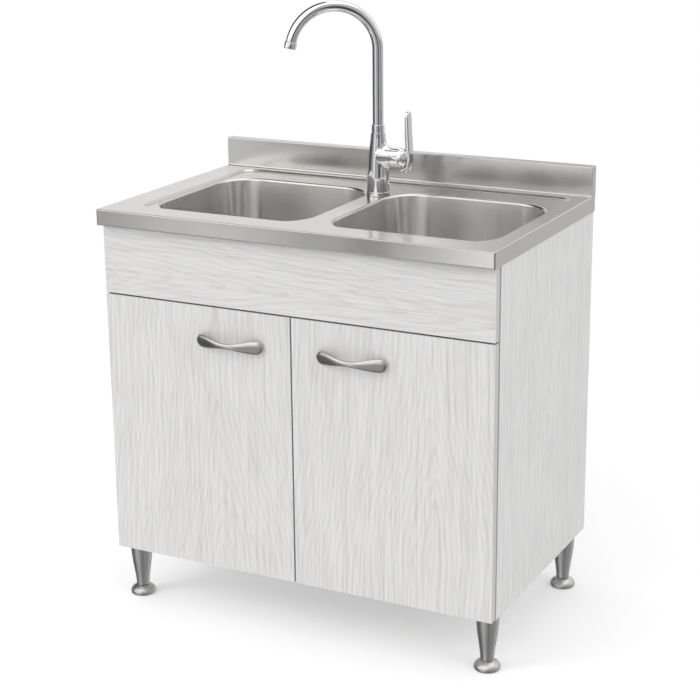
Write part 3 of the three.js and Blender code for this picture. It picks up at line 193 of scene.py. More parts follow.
# %% Outlines with round corners
def soften(outline, radius, steps=5):
    """Rounds the inner corners of an open outline. A third number in a point is its own radius."""
    result = [tuple(outline[0][:2])]
    for before, corner, after in zip(outline, outline[1:], outline[2:]):
        own = corner[2] if len(corner) > 2 else radius
        c = np.array(corner[:2], float)
        to_a = np.array(before[:2], float) - c
        to_b = np.array(after[:2], float) - c
        length_a, length_b = np.linalg.norm(to_a), np.linalg.norm(to_b)
        reach = min(own, 0.48 * length_a, 0.48 * length_b)
        start, end = c + to_a / length_a * reach, c + to_b / length_b * reach
        for i in range(steps + 1):
            t = i / steps
            result.append(tuple((1 - t) ** 2 * start + 2 * t * (1 - t) * c + t * t * end))
    result.append(tuple(outline[-1][:2]))
    return result


def around(count):
    """Evenly spaced angles, once round."""
    return [2 * math.pi * i / count for i in range(count)]


def quarter_turn(steps, first=0):
    """Angles from nothing to a right angle, in equal steps."""
    return [i / steps * math.pi / 2 for i in range(first, steps + 1)]


def circle(middle, radius, z, angles):
    """A level ring of points at the given angles."""
    return [(middle[0] + radius * math.cos(a), middle[1] + radius * math.sin(a), z) for a in angles]


def disc(radius, low, high):
    """The outline of a plain round bar."""
    return [(0, low), (radius, low), (radius, high), (0, high)]

# %% Spun, swept and drawn skins
ALONG_X = Matrix(((0, 0, 1), (0, 1, 0), (-1, 0, 0)))
ALONG_Y = Matrix(((1, 0, 0), (0, 0, 1), (0, -1, 0)))
UPRIGHT = Matrix.Identity(3)


def spin(name, outline, at=(0, 0, 0), turn=UPRIGHT, segments=72):
    """An outline of (radius, height) turned about its axis, which is then laid along turn."""
    points, rings, faces = [], [], []
    for radius, height in outline:
        count = 1 if radius < 1e-4 else segments
        rings.append([len(points) + i for i in range(count)])
        points += circle((0, 0), radius, height, around(segments)[:count])
    for low, high in zip(rings, rings[1:]):
        for i in range(segments):
            j = i + 1
            corners = [low[i % len(low)], low[j % len(low)], high[j % len(high)], high[i % len(high)]]
            face = list(dict.fromkeys(corners))
            if len(face) > 2:
                faces.append(face)
    return grow(name, [turn @ Vector(p) + Vector(at) for p in points], faces)


def turned(name, outline, at, rounding=0.5, turn=UPRIGHT, segments=72):
    """A turned piece with its corners rounded."""
    return spin(name, soften(outline, rounding), at, turn, segments)


def draw_skin(name, loops, closed=False):
    """A skin through loops of equally many points, with flat ends unless it closes on itself."""
    count, last = len(loops[0]), len(loops) - 1
    points = [point for loop in loops for point in loop]
    pairs = [(a, a + 1) for a in range(last)] + ([(last, 0)] if closed else [])
    faces = []
    for a, b in pairs:
        for i in range(count):
            j = (i + 1) % count
            faces.append((a * count + i, a * count + j, b * count + j, b * count + i))
    if not closed:
        faces.append(tuple(range(count - 1, -1, -1)))
        faces.append(tuple(range(last * count, (last + 1) * count)))
    return grow(name, points, faces)


def sweep(name, path, radius, segments=48):
    """A round tube along a path. The section is carried along without twisting."""
    headings = [(b - a).normalized() for a, b in zip(path, path[1:])]
    headings.append(headings[-1])
    side = headings[0].orthogonal().normalized()
    loops = []
    for i, point in enumerate(path):
        ahead = (headings[max(i - 1, 0)] + headings[i]).normalized()
        side = (side - ahead * side.dot(ahead)).normalized()
        up = ahead.cross(side)
        loops.append([point + (side * math.cos(a) + up * math.sin(a)) * radius
                      for a in around(segments)])
    return draw_skin(name, loops)


def merge(name, pieces):
    """Several closed meshes as one piece."""
    shape = bmesh.new()
    for piece in pieces:
        shape.from_mesh(piece.data)
        bpy.data.objects.remove(piece)
    mesh = bpy.data.meshes.new(name)
    shape.to_mesh(mesh)
    shape.free()
    shade(mesh)
    return show(name, mesh)

# %% [markdown]
# ## Shader effects that are shared
# Four effects come back in many of the finishes, so each is a node group with named sockets:
# the ash print of the boards, the fine lines that brushing leaves in metal, faint smudges that
# break up a gloss, and a mask along sharp edges. In satin metals that mask is wear in the gloss, and
# in plated ones it is a painted highlight in the colour. A group only gives masks, values and
# heights. The shader itself stays in each material, where the values can be set for that finish.

# %% Node helpers
class Flow:
    """A node's output, with plain arithmetic. Each sign adds one Math node behind it."""

    def __init__(self, socket):
        self.socket, self.tree = socket, socket.id_data

    def __add__(self, other):
        return calc("ADD", self, other)

    def __sub__(self, other):
        return calc("SUBTRACT", self, other)

    def __rsub__(self, other):
        return calc("SUBTRACT", other, self)

    def __mul__(self, other):
        return calc("MULTIPLY", self, other)


def feed(source, target):
    """Links a flow to an input socket, or sets a plain number or colour on it."""
    if isinstance(source, Flow):
        source.tree.links.new(source.socket, target)
    else:
        target.default_value = source


def add_node(tree, kind, output=0, inputs=(), **settings):
    """A new node with its settings and its inputs, as a flow from one of its outputs."""
    node = tree.nodes.new(kind)
    for setting, value in settings.items():
        setattr(node, setting, value)
    for socket, value in dict(inputs).items():
        feed(value, node.inputs[socket])
    return Flow(node.outputs[output])


def calc(operation, *values):
    """One Math node on flows and plain numbers."""
    tree = next(value.tree for value in values if isinstance(value, Flow))
    return add_node(tree, "ShaderNodeMath", 0, enumerate(values), operation=operation)


def noise(vector, scale, detail=2.0, roughness=0.5):
    """One Noise node on a vector."""
    inputs = {"Vector": vector, "Scale": scale, "Detail": detail, "Roughness": roughness}
    return add_node(vector.tree, "ShaderNodeTexNoise", "Fac", inputs)


def combine(*values):
    """Three values as a vector."""
    return add_node(values[0].tree, "ShaderNodeCombineXYZ", 0, enumerate(values))


def split(vector):
    """The three values of a vector."""
    node = vector.tree.nodes.new("ShaderNodeSeparateXYZ")
    feed(vector, node.inputs[0])
    return [Flow(output) for output in node.outputs]


def ramp(value, low, high):
    """A smooth rise from nothing to one, between two values."""
    return add_node(value.tree, "ShaderNodeMapRange", "Result", enumerate((value, low, high, 0.0, 1.0)),
                    interpolation_type="SMOOTHSTEP")


def new_group(name, inputs, outputs):
    """An empty node group, the flows from its inputs, and its output sockets."""
    tree = bpy.data.node_groups.new(name, "ShaderNodeTree")
    for socket, default in inputs.items():
        kind = "NodeSocketVector" if default is None else "NodeSocketFloat"
        made = tree.interface.new_socket(name=socket, in_out="INPUT", socket_type=kind)
        if default is not None:
            made.default_value = default
    for socket in outputs:
        tree.interface.new_socket(name=socket, in_out="OUTPUT", socket_type="NodeSocketFloat")
    given = tree.nodes.new("NodeGroupInput").outputs
    result = tree.nodes.new("NodeGroupOutput").inputs
    return tree, [Flow(given[socket]) for socket in inputs], result

# %% The ash print
ARCH_WANDER = 0.06        # metres that the growth lines wander
ARCH_TIP = 0.00012        # rounds the tips of the arches
LINES_PER_METRE = 92.0
CLIMB = 11.0              # lines crossed in each metre along the grain


def make_ash_print():
    """Growth lines in nested arches, fine streaks and short pores, all along the board."""
    inputs = {"Across": 0.0, "Along": 0.0, "Arch Centre": 0.0, "Seed": 0.0, "Arch Strength": 1.0}
    tree, flows, result = new_group("ash_print", inputs, ["Tone", "Height"])
    across, along, centre, seed, strength = flows

    def cloud(by_across, by_along, detail=2.0):
        return noise(combine(across * by_across, along * by_along, seed), 1.0, detail)

    from_centre = across + cloud(5.0, 3.0) * ARCH_WANDER - centre
    arch = calc("SQRT", from_centre * from_centre + ARCH_TIP)
    lines = arch * LINES_PER_METRE + along * CLIMB
    saw = calc("FRACT", lines + cloud(1.0, 3.6) * 5.0 + cloud(60.0, 5.0, 3.0) * 1.4)
    growth = ramp(saw, 0.4, 0.95) * ramp(saw, 1.0, 0.94)
    streaks, bands = ramp(cloud(300.0, 7.0), 0.40, 0.68), ramp(cloud(95.0, 2.2), 0.3, 0.72)
    pores = ramp(cloud(520.0, 17.0, 1.0), 0.52, 0.66)
    dark = growth * strength * 0.22 + streaks * 0.26 + bands * 0.10 + pores * 0.22
    tone = 1.0 - dark
    feed(tone, result["Tone"])
    feed(tone - pores * 0.6, result["Height"])
    return tree


ash_print = make_ash_print()
print("ash print:", len(ash_print.nodes), "nodes")

# %% Brushing, smudges, edge wear and edge highlights
def make_brushed_lines():
    """Hairlines from the brush: noise that is stretched by the vector it is given."""
    tree, (vector,), result = new_group("brushed_lines", {"Stretched": None}, ["Tone", "Height"])
    fine = noise(vector, 1.0, 3.0, 0.6)
    feed(noise(vector, 0.21) * 0.5 + fine * 0.5, result["Tone"])
    feed(fine, result["Height"])
    return tree


def make_smudges():
    """Slow, faint changes of gloss, as a wiped surface has."""
    tree, (place, size), result = new_group("smudges", {"Place": None, "Size": 0.05}, ["Mask"])
    feed(ramp(noise(place, calc("DIVIDE", 1.0, size), 4.0, 0.55), 0.32, 0.72), result["Mask"])
    return tree


def make_edge_wear_and_highlight():
    """A mask along the outer edges of a dense mesh, broken up by noise."""
    inputs = {"Place": None, "Sharpness": 0.52, "Breakup": 140.0}
    tree, (place, sharpness, breakup), result = new_group("edge_wear_and_highlight", inputs, ["Mask"])
    bend = add_node(tree, "ShaderNodeNewGeometry", "Pointiness")
    feed(ramp(bend, sharpness, sharpness + 0.06) * noise(place, breakup, 3.0), result["Mask"])
    return tree


brushed_lines = make_brushed_lines()
smudges = make_smudges()
edge_wear_and_highlight = make_edge_wear_and_highlight()
print("shared effects:", [group.name for group in bpy.data.node_groups])

# %% [markdown]
# ## The finishes
# Each finish is one Principled shader with its own numbers, fed by the shared effects. The
# boards carry a pale grey print of ash under a satin film, with a darker grey on their edges that
# is painted shade. The sink is bright stainless steel with a fine satin grain; its bowls are
# paler, which is painted light. The tap is mirror chrome with a painted highlight on sharp edges,
# the handles satin nickel, and the legs a darker brushed metal.

# %% A start for every finish
def new_finish(name, metallic, roughness):
    """A material, the inputs of its Principled shader, and the place of each point in metres."""
    finish = bpy.data.materials.new(name)
    finish.use_nodes = True
    shader = finish.node_tree.nodes["Principled BSDF"].inputs
    shader["Metallic"].default_value = metallic
    shader["Roughness"].default_value = roughness
    return finish, shader, add_node(finish.node_tree, "ShaderNodeTexCoord", "Object")


def use(group, **values):
    """A copy of a shared effect with its sockets fed. The first value has to be a flow."""
    node = next(iter(values.values())).tree.nodes.new("ShaderNodeGroup")
    node.node_tree = group
    for socket, value in values.items():
        feed(value, node.inputs[socket.replace("_", " ")])
    return {output.name: Flow(output) for output in node.outputs}


def stretched(place, scale):
    """The place multiplied by one factor for each axis."""
    return add_node(place.tree, "ShaderNodeVectorMath", 0, enumerate((place, scale)),
                    operation="MULTIPLY")


def blend_colours(mask, first, second):
    """Two colours mixed by a mask."""
    first, second = [(*colour, 1) if isinstance(colour, tuple) else colour
                     for colour in (first, second)]
    return add_node(mask.tree, "ShaderNodeMix", "Result", {"Factor": mask, "A": first, "B": second},
                    data_type="RGBA")


def relief(shader, height, depth, strength=1.0):
    """A bump of the given depth in metres, into the shader's normal."""
    inputs = {"Strength": strength, "Distance": depth, "Height": height}
    feed(add_node(height.tree, "ShaderNodeBump", "Normal", inputs), shader["Normal"])

# %% The boards' finish
BOARD_PALE = (0.702, 0.694, 0.692)
BOARD_DARK = (0.450, 0.444, 0.440)
# The boards' narrow edges: a darker grey that is painted shade.
PAINTED_EDGE_SHADE = (0.50, 0.495, 0.49)
PRINT_RELIEF = 0.00006    # metres


def ash_board(name, across, along, centre, seed, strength):
    """Melamine with the grain along one axis of the unit; across and along are 0, 1 or 2."""
    finish, shader, place = new_finish(name, 0.0, 0.42)
    places = split(place)
    grain = use(ash_print, Across=places[across], Along=places[along],
                Arch_Centre=centre, Seed=seed, Arch_Strength=strength)
    printed = blend_colours(grain["Tone"], BOARD_DARK, BOARD_PALE)
    # Surfaces that do not face along the board's thickness get the darker grey, which paints shade on
    # the edges.
    facing = split(add_node(place.tree, "ShaderNodeTexCoord", "Normal"))
    thickness = 3 - across - along
    on_face = ramp(calc("ABSOLUTE", facing[thickness]), 0.5, 0.9)
    feed(blend_colours(on_face, PAINTED_EDGE_SHADE, printed), shader["Base Color"])
    feed(use(smudges, Place=place, Size=0.12)["Mask"] * 0.08 + 0.40, shader["Roughness"])
    shader["Specular IOR Level"].default_value = 0.35
    relief(shader, grain["Height"], PRINT_RELIEF, 0.35)
    return finish

# %% The metals' finishes
def satin_metal(name, colour, roughness, grain, depth=0.00001, dark_share=0.85, brushed=0.0):
    """Metal with fine brushed lines; grain stretches the lines along one axis."""
    finish, shader, place = new_finish(name, 1.0, roughness)
    lines = use(brushed_lines, Stretched=stretched(place, grain))
    darker = tuple(channel * dark_share for channel in colour)
    feed(blend_colours(lines["Tone"], darker, colour), shader["Base Color"])
    wiped = use(smudges, Place=place, Size=0.09)["Mask"]
    edge_mask = use(edge_wear_and_highlight, Place=place)["Mask"]
    feed(wiped * 0.05 + (roughness - 0.02) - edge_mask * 0.06, shader["Roughness"])
    relief(shader, lines["Height"], depth)
    shader["Anisotropic"].default_value = brushed
    shader["Anisotropic Rotation"].default_value = 0.25
    return finish


def mirror_metal(name, colour, roughness):
    """Plated metal, with smudges that only just show."""
    finish, shader, place = new_finish(name, 1.0, roughness)
    # Sharp edges get a slightly paler colour: a painted highlight along the edges.
    edge_mask = use(edge_wear_and_highlight, Place=place, Sharpness=0.54)["Mask"]
    painted_edge_highlight = tuple(min(channel * 1.03, 1.0) for channel in colour)
    feed(blend_colours(edge_mask, colour, painted_edge_highlight), shader["Base Color"])
    feed(use(smudges, Place=place, Size=0.03)["Mask"] * 0.03 + roughness, shader["Roughness"])
    return finish


def moulded_plastic(name, colour, roughness):
    """Plain plastic with a fine moulded skin."""
    finish, shader, place = new_finish(name, 0.0, roughness)
    wiped = use(smudges, Place=place, Size=0.04)["Mask"]
    darker = tuple(channel * 0.94 for channel in colour)
    feed(blend_colours(wiped, darker, colour), shader["Base Color"])
    feed(wiped * 0.1 + roughness, shader["Roughness"])
    relief(shader, noise(place, 2500.0), 0.00004, 0.5)
    return finish


FINE_BRUSH = (12.0, 420.0, 420.0)  # lines in each metre, along X, Y and Z
sink_steel = satin_metal("satin_stainless", (0.62, 0.605, 0.59), 0.19, FINE_BRUSH, 0.000002, 0.95, 0.5)
# The bowls, drains and strainers take a paler steel than the deck: painted light that brightens them.
# Their rougher, less brushed gloss is the drawn finish.
bowl_steel_painted_bright = satin_metal("drawn_stainless_painted_bright", (0.72, 0.705, 0.695), 0.24, FINE_BRUSH, 0.000001, 0.96, 0.4)
chrome = mirror_metal("mirror_chrome", (0.76, 0.765, 0.78), 0.03)
nickel = satin_metal("satin_nickel", (0.60, 0.59, 0.58), 0.26, (60.0, 1400.0, 1400.0), 0.000006)
leg_metal = satin_metal("brushed_leg_metal", (0.60, 0.59, 0.585), 0.38, (500.0, 500.0, 26.0),
                        0.000006, 0.9)
hinge_steel = satin_metal("plated_hinge_steel", (0.66, 0.67, 0.68), 0.24, (300.0, 300.0, 300.0),
                          0.000004)
brass = mirror_metal("turned_brass", (0.78, 0.6, 0.3), 0.25)
white_plastic = moulded_plastic("white_pipe_plastic", (0.8, 0.8, 0.785), 0.38)
print("finishes:", [material.name for material in bpy.data.materials][:4], "and more")

# %% [markdown]
# ## The boards
# The cabinet is melamine-faced chipboard with thin glued edge bands. Its solids already have
# the right shape, so their meshes are copied, the triangles of each flat face are joined, and
# every edge gets the small rounding that trimming leaves. Grain runs upright on doors and
# sides, and level on the apron and the shelf, and each board has its own stretch of print.

# %% Make the boards
EDGE_ROUNDING = 0.7
THIN_BOARD, THIN_ROUNDING = 4.0, 0.2
boards = {
    # across and along the grain, then the arches' centre in metres, a seed and their strength
    "side_panel_left": ("Y", "Z", 0.02, 11.0, 1.0),
    "side_panel_right": ("Y", "Z", 0.06, 3.7, 1.0),
    "door_left": ("X", "Z", -0.12, 5.2, 0.9),
    "door_right": ("X", "Z", 0.31, 8.4, 0.9),
    "apron_panel": ("Z", "X", 0.70, 2.3, 0.9),
    "front_rail": ("Z", "X", 0.70, 6.1, 0.8),
    "rear_rail": ("Z", "X", 0.74, 7.7, 0.8),
    "bottom_panel": ("Y", "X", 0.03, 9.3, 0.8),
    "back_panel": ("X", "Z", 0.10, 12.5, 0.8),
}


def flat_copy(name, node):
    """A solid's mesh as a piece, with the triangles of each flat face joined."""
    mesh = frame["nodes"][node].data.copy()
    shape = bmesh.new()
    shape.from_mesh(mesh)
    bmesh.ops.remove_doubles(shape, verts=shape.verts, dist=1e-6)
    bmesh.ops.dissolve_limit(shape, angle_limit=math.radians(1), verts=shape.verts, edges=shape.edges)
    shape.to_mesh(mesh)
    shape.free()
    shade(mesh)
    return show(name, mesh)


def round_edges(piece, width, segments=3, angle=38):
    """A rounding of the given width in millimetres on every crease."""
    rounding = piece.modifiers.new("rounded_edges", "BEVEL")
    rounding.width = width * MM
    rounding.segments = segments
    rounding.limit_method = "ANGLE"
    rounding.angle_limit = math.radians(angle)
    rounding.harden_normals = True
    return piece


for node, (across, along, *arches) in boards.items():
    low, high = box_mm(node)
    thin = min(high - low) < THIN_BOARD
    piece = round_edges(flat_copy(f"{node}_board", node), THIN_ROUNDING if thin else EDGE_ROUNDING)
    finish = ash_board(f"ash_{node}", "XYZ".index(across), "XYZ".index(along), *arches)
    dress(piece, finish, node)
print("boards:", len(boards))

# %% [markdown]
# ## The sink
# The top of the unit is one sheet of steel: folded down all round as a lip, pressed down to a
# shallow field, and welded to two deep-drawn bowls whose seams are ground away. It could be
# cut from blocks with booleans, but a pressed sheet has no sharp edge anywhere. So it is drawn
# here as rings that run from the foot of the lip, over the rim, and down to each drain. Only
# the flat field between the rings has to be filled.

# %% Sizes of the sink, from its solids
RIM_FOLD = 2.0
LIP_CORNER = 3.0
FIELD_LEFT, FIELD_RIGHT, FIELD_FRONT, FIELD_BACK = 59.0, 31.0, 60.0, 42.0
FIELD_CORNER = 28.0
FIELD_DROP = 3.5
BOWL_FLANGE = 6.0
BOWL_CORNER = 70.0
BOWL_FOOT = 24.0
WALL_LEAN = 10.0
DRAIN_SEAT = 58.0
DRAIN_HOLE = 43.5
TAP_HOLE = 17.5
SHEET = 1.0

deck_low, deck_high, deck_middle, deck_half = span_mm("sink_deck")
rim_top, lip_foot = deck_high.z, deck_low.z
field_top = rim_top - FIELD_DROP
field_low = Vector((deck_low.x + FIELD_LEFT, deck_low.y + FIELD_FRONT))
field_high = Vector((deck_high.x - FIELD_RIGHT, deck_high.y - FIELD_BACK))
field_middle, field_half = (field_low + field_high) / 2, (field_high - field_low) / 2
tap_low, tap_high, tap_axis, tap_half = span_mm("tap_ring")
print("field, mm:", [round(v) for v in field_half * 2], "rim at", round(rim_top))

# %% Rings in plan
TURN_STEPS = 12
RUN_STEPS = 6


def plan_ring(middle, half, corner, z):
    """A rectangle with round corners seen from above, as a ring of points."""
    turns = []
    for quarter, (sx, sy) in enumerate(((1, 1), (-1, 1), (-1, -1), (1, -1))):
        hub = (middle[0] + sx * (half[0] - corner), middle[1] + sy * (half[1] - corner))
        angles = [(quarter + i / TURN_STEPS) * math.pi / 2 for i in range(TURN_STEPS + 1)]
        turns.append(circle(hub, corner, z, angles))
    ring = []
    for k, turn in enumerate(turns):
        ring += turn
        start, end = Vector(turn[-1]), Vector(turns[(k + 1) % 4][0])
        ring += [tuple(start.lerp(end, i / RUN_STEPS)) for i in range(1, RUN_STEPS)]
    return ring


def round_ring(middle, radius, z, like):
    """A circle with its points where another ring has them."""
    return circle(middle, radius, z, [math.atan2(p[1] - middle[1], p[0] - middle[0]) for p in like])


def ease_line(start, end, steps):
    """An S-shaped run from one (inset, height) to another, level at both ends."""
    runs = [(i / steps, 0.5 - 0.5 * math.cos(math.pi * i / steps)) for i in range(steps + 1)]
    return [(start[0] + (end[0] - start[0]) * t, start[1] + (end[1] - start[1]) * s)
            for t, s in runs]


# %% The rim and the pressed step
STEP_OUTSIDE, STEP_INSIDE = 3.5, 2.5  # run of the step, either side of the field's edge


def rim_rings():
    """From the foot of the lip, over the fold and down the step to the field."""
    line = [(0, lip_foot), (0, lip_foot + 2), (0, rim_top - RIM_FOLD - 2)]
    line += [(RIM_FOLD - RIM_FOLD * math.cos(a), rim_top - RIM_FOLD + RIM_FOLD * math.sin(a))
             for a in quarter_turn(6)]
    line.append((RIM_FOLD + 2, rim_top))
    rings = [plan_ring(deck_middle, (deck_half.x - inset, deck_half.y - inset),
                       max(LIP_CORNER - inset, 0.3), z) for inset, z in line]
    step = ease_line((-STEP_OUTSIDE, rim_top), (STEP_INSIDE, field_top), 8)
    step = [(-STEP_OUTSIDE - 1.5, rim_top), *step, (STEP_INSIDE + 0.4, field_top)]
    rings += [plan_ring(field_middle, (field_half.x - inset, field_half.y - inset),
                        FIELD_CORNER - inset, z) for inset, z in step]
    return rings


print("rings of the rim:", len(rim_rings()))

# %% The bowls
RIM_ROUND = 5.0
FLOOR_FALL = 2.5
SEAT_DROP = 4.0
SEAT_EDGE = 4.0      # floor's inner edge beyond the drain's seat
CORNER_SHRINK = 0.8  # corner radius lost for each millimetre of lean


def bowl_rings(node):
    """From the rounded rim down the leaning walls to the seat of the drain."""
    low, high = box_mm(node)
    middle = ((low.x + high.x) / 2, (low.y + high.y) / 2)
    half = ((high.x - low.x) / 2 - BOWL_FLANGE, (high.y - low.y) / 2 - BOWL_FLANGE)
    seat_top = low.z + SHEET
    floor = seat_top + SEAT_DROP
    lean = math.atan(WALL_LEAN / (field_top - floor - BOWL_FOOT))
    foot_top = floor + FLOOR_FALL + BOWL_FOOT * (1 - math.sin(lean))
    line = [(-RIM_ROUND - 0.4, field_top)]
    for i in range(8):
        a = i / 7 * (math.pi / 2 - lean)
        line.append((-RIM_ROUND + RIM_ROUND * math.sin(a), field_top - RIM_ROUND * (1 - math.cos(a))))
    top = line[-1]
    line += [(top[0] + (WALL_LEAN - top[0]) * i / 10, top[1] + (foot_top - top[1]) * i / 10)
             for i in range(1, 10)]
    for i in range(13):
        a = lean + i / 12 * (math.radians(88.5) - lean)
        line.append((WALL_LEAN + BOWL_FOOT * (math.cos(lean) - math.cos(a)),
                     foot_top - BOWL_FOOT * (math.sin(a) - math.sin(lean))))
    rings = [plan_ring(middle, (half[0] - inset, half[1] - inset),
                       BOWL_CORNER - CORNER_SHRINK * max(inset, 0), z) for inset, z in line]
    edge, drain_edge = rings[-1], DRAIN_SEAT + SEAT_EDGE
    inner = round_ring(middle, drain_edge, floor, edge)
    for i in range(1, 8):
        rings.append([tuple(Vector(a).lerp(Vector(b), i / 7)) for a, b in zip(edge, inner)])
    rounds = ease_line((drain_edge - 1, floor), (DRAIN_SEAT - 0.3, seat_top), 6)
    rounds += [(DRAIN_HOLE + 2, seat_top), (DRAIN_HOLE, seat_top)]
    return rings + [round_ring(middle, radius, z, edge) for radius, z in rounds]


print("rings of a bowl:", len(bowl_rings("bowl_left")))

# %% One skin of steel
def fill_between(outer, holes):
    """Flat triangles, facing up, between an outer ring and the rings of its holes."""
    rings = [[Vector(p) for p in ring] for ring in (outer, *holes)]
    flat = [point for ring in rings for point in ring]
    faces = []
    for a, b, c in tessellate_polygon(rings):
        up = (flat[b] - flat[a]).cross(flat[c] - flat[a]).z
        faces.append((a, b, c) if up > 0 else (a, c, b))
    return flat, faces


def sheet_of_rings(families, flat):
    """One open sheet from families of rings and a flat filling, welded where they meet."""
    shape = bmesh.new()
    for rings in families:
        rows = [[shape.verts.new(Vector(p) * MM) for p in ring] for ring in rings]
        for low, high in zip(rows, rows[1:]):
            for i in range(len(low)):
                j = (i + 1) % len(low)
                shape.faces.new((low[i], low[j], high[j], high[i]))
    points, faces = flat
    made = [shape.verts.new(Vector(p) * MM) for p in points]
    for face in faces:
        shape.faces.new([made[i] for i in face])
    bmesh.ops.remove_doubles(shape, verts=shape.verts, dist=1e-6)
    return shape


def make_sink():
    """The whole pressed top, one millimetre thick."""
    rim = rim_rings()
    bowls = [bowl_rings(f"bowl_{side}") for side in SIDES]
    tap_hole = circle(tap_axis, TAP_HOLE, field_top, around(48))
    shape = sheet_of_rings([rim, *bowls], fill_between(rim[-1], [bowls[0][0], bowls[1][0], tap_hole]))
    mesh = bpy.data.meshes.new("sink_sheet")
    shape.to_mesh(mesh)
    shape.free()
    mesh.shade_smooth()
    sheet = show("sink_sheet", mesh)
    thickness = sheet.modifiers.new("sheet_thickness", "SOLIDIFY")
    thickness.thickness = SHEET * MM
    thickness.offset = -1
    weighted = sheet.modifiers.new("even_shading", "WEIGHTED_NORMAL")
    weighted.weight = 100
    return sheet


sink = dress(make_sink(), sink_steel, "sink_deck", "bowl_left", "bowl_right")
# The faces inside the bowls take the paler steel, which is painted light.
sink.data.materials.append(bowl_steel_painted_bright)
for side in SIDES:
    low, high = box_mm(f"bowl_{side}")
    for face in sink.data.polygons:
        place = face.center / MM
        inside = low.x < place.x < high.x and low.y < place.y < high.y
        if inside and place.z < field_top - RIM_ROUND / 2:
            face.material_index = 1
print("sink sheet:", len(sink.data.polygons), "faces")

# %% [markdown]
# ## The upstand
# Along the wall the sheet is folded up to keep water off the wall. The fold has a small round
# root, a round top edge, and a flat end. It is drawn as one section, which is pulled along the
# rear edge, and the outline of each end is rounded with a bevel.

# %% Make the upstand
ROOT_ROUND = 3.0
TOP_ROUND = 2.2
END_ROUND = 1.2


def make_upstand():
    """The folded upstand, closed at both ends."""
    low, high, _, half = span_mm("backsplash")
    front, back, top = low.y, high.y, high.z
    foot = rim_top - RIM_FOLD
    section = [(front - ROOT_ROUND, foot), (front - ROOT_ROUND, rim_top - 0.05)]
    section += [(front - ROOT_ROUND + ROOT_ROUND * math.sin(a),
                 rim_top + ROOT_ROUND * (1 - math.cos(a))) for a in quarter_turn(6, 1)]
    section += soften([(front, rim_top + 8), (front, top), (back, top), (back, foot)], TOP_ROUND)
    loops = [[(x, y, z) for y, z in section] for x in (-half.x, half.x)]
    return round_edges(draw_skin("upstand", loops), END_ROUND, 4, angle=70)


dress(make_upstand(), sink_steel, "backsplash")
print("upstand, mm:", [round(2 * v) for v in span_mm("backsplash")[3]])

# %% [markdown]
# ## The tap
# The body is a casting. A slim column and the side branch for the cartridge run into each
# other with a soft fillet, and chrome shows every fault in such a joint. So the body is made
# as a formula: the distance to the column and the distance to the branch are blended, more
# where the two meet at a right angle and not at all where they are already tangent. A net of
# points is laid over it and drawn onto the surface, and the normals come from the formula.

# %% The tap's main places
BODY_FOOT_GAP = 0.3

body_low, body_high = box_mm("tap_body")
nut_low, _, nut_middle, nut_half = span_mm("cartridge_nut")
lever_low = box_mm("lever")[0]
spout_low = box_mm("spout")[0]
body_foot, body_top = tap_high.z + BODY_FOOT_GAP, body_high.z
branch_z, branch_radius = nut_middle.z, nut_half.z
branch_end = nut_low.x - BODY_FOOT_GAP - tap_axis.x
print("body from", round(body_foot), "to", round(body_top), "branch at", round(branch_z, 1))

# %% The blended body
BODY_HEIGHTS = np.array([0, 20, 45, 67.4, 90, 112.4])
BODY_RADII = np.array([22.0, 21.8, 20.3, 18.4, 15.9, 13.4])
SMOOTH_WINDOW = np.linspace(-9, 9, 13)
BLEND_REACH = 11.0
BRANCH_ROOT = 4.0
EDGE = 0.7


def column_radius(height):
    """The column's radius at a height above its foot, with the bends smoothed."""
    height = np.asarray(height)
    spread = height[..., None] + SMOOTH_WINDOW
    return np.interp(spread, BODY_HEIGHTS, BODY_RADII).mean(axis=-1)


def body_distance(p):
    """How far points are from the blended surface; negative inside."""
    x, y, z = p[:, 0], p[:, 1], p[:, 2]
    from_axis = np.hypot(x, y)
    to_column = from_axis - column_radius(z - body_foot)
    past_root = np.minimum(x - BRANCH_ROOT, 0)
    up = z - branch_z
    reach = np.sqrt(past_root ** 2 + y ** 2 + up ** 2)
    to_branch = reach - branch_radius
    dot = (x * past_root + y * y) / np.maximum(from_axis * reach, 1e-6)
    blend = np.maximum(BLEND_REACH * (1 - dot), 1e-3)
    near = np.maximum(blend - np.abs(to_column - to_branch), 0) / blend
    return np.minimum(to_column, to_branch) - near ** 2 * blend / 4


def body_slope(p):
    """The direction in which the distance grows."""
    step = 0.01
    columns = []
    for axis in range(3):
        ahead, behind = p.copy(), p.copy()
        ahead[:, axis] += step
        behind[:, axis] -= step
        columns.append((body_distance(ahead) - body_distance(behind)) / (2 * step))
    return np.stack(columns, axis=1)


# %% The net over the body
ROUND = 64
LEVELS_BELOW, LEVELS_BRANCH, LEVELS_ABOVE, BRANCH_LOOPS = 22, 22, 16, 16
PULLS, EVENING_PULLS = 40, 30  # how often the net is drawn in, and evened out before that


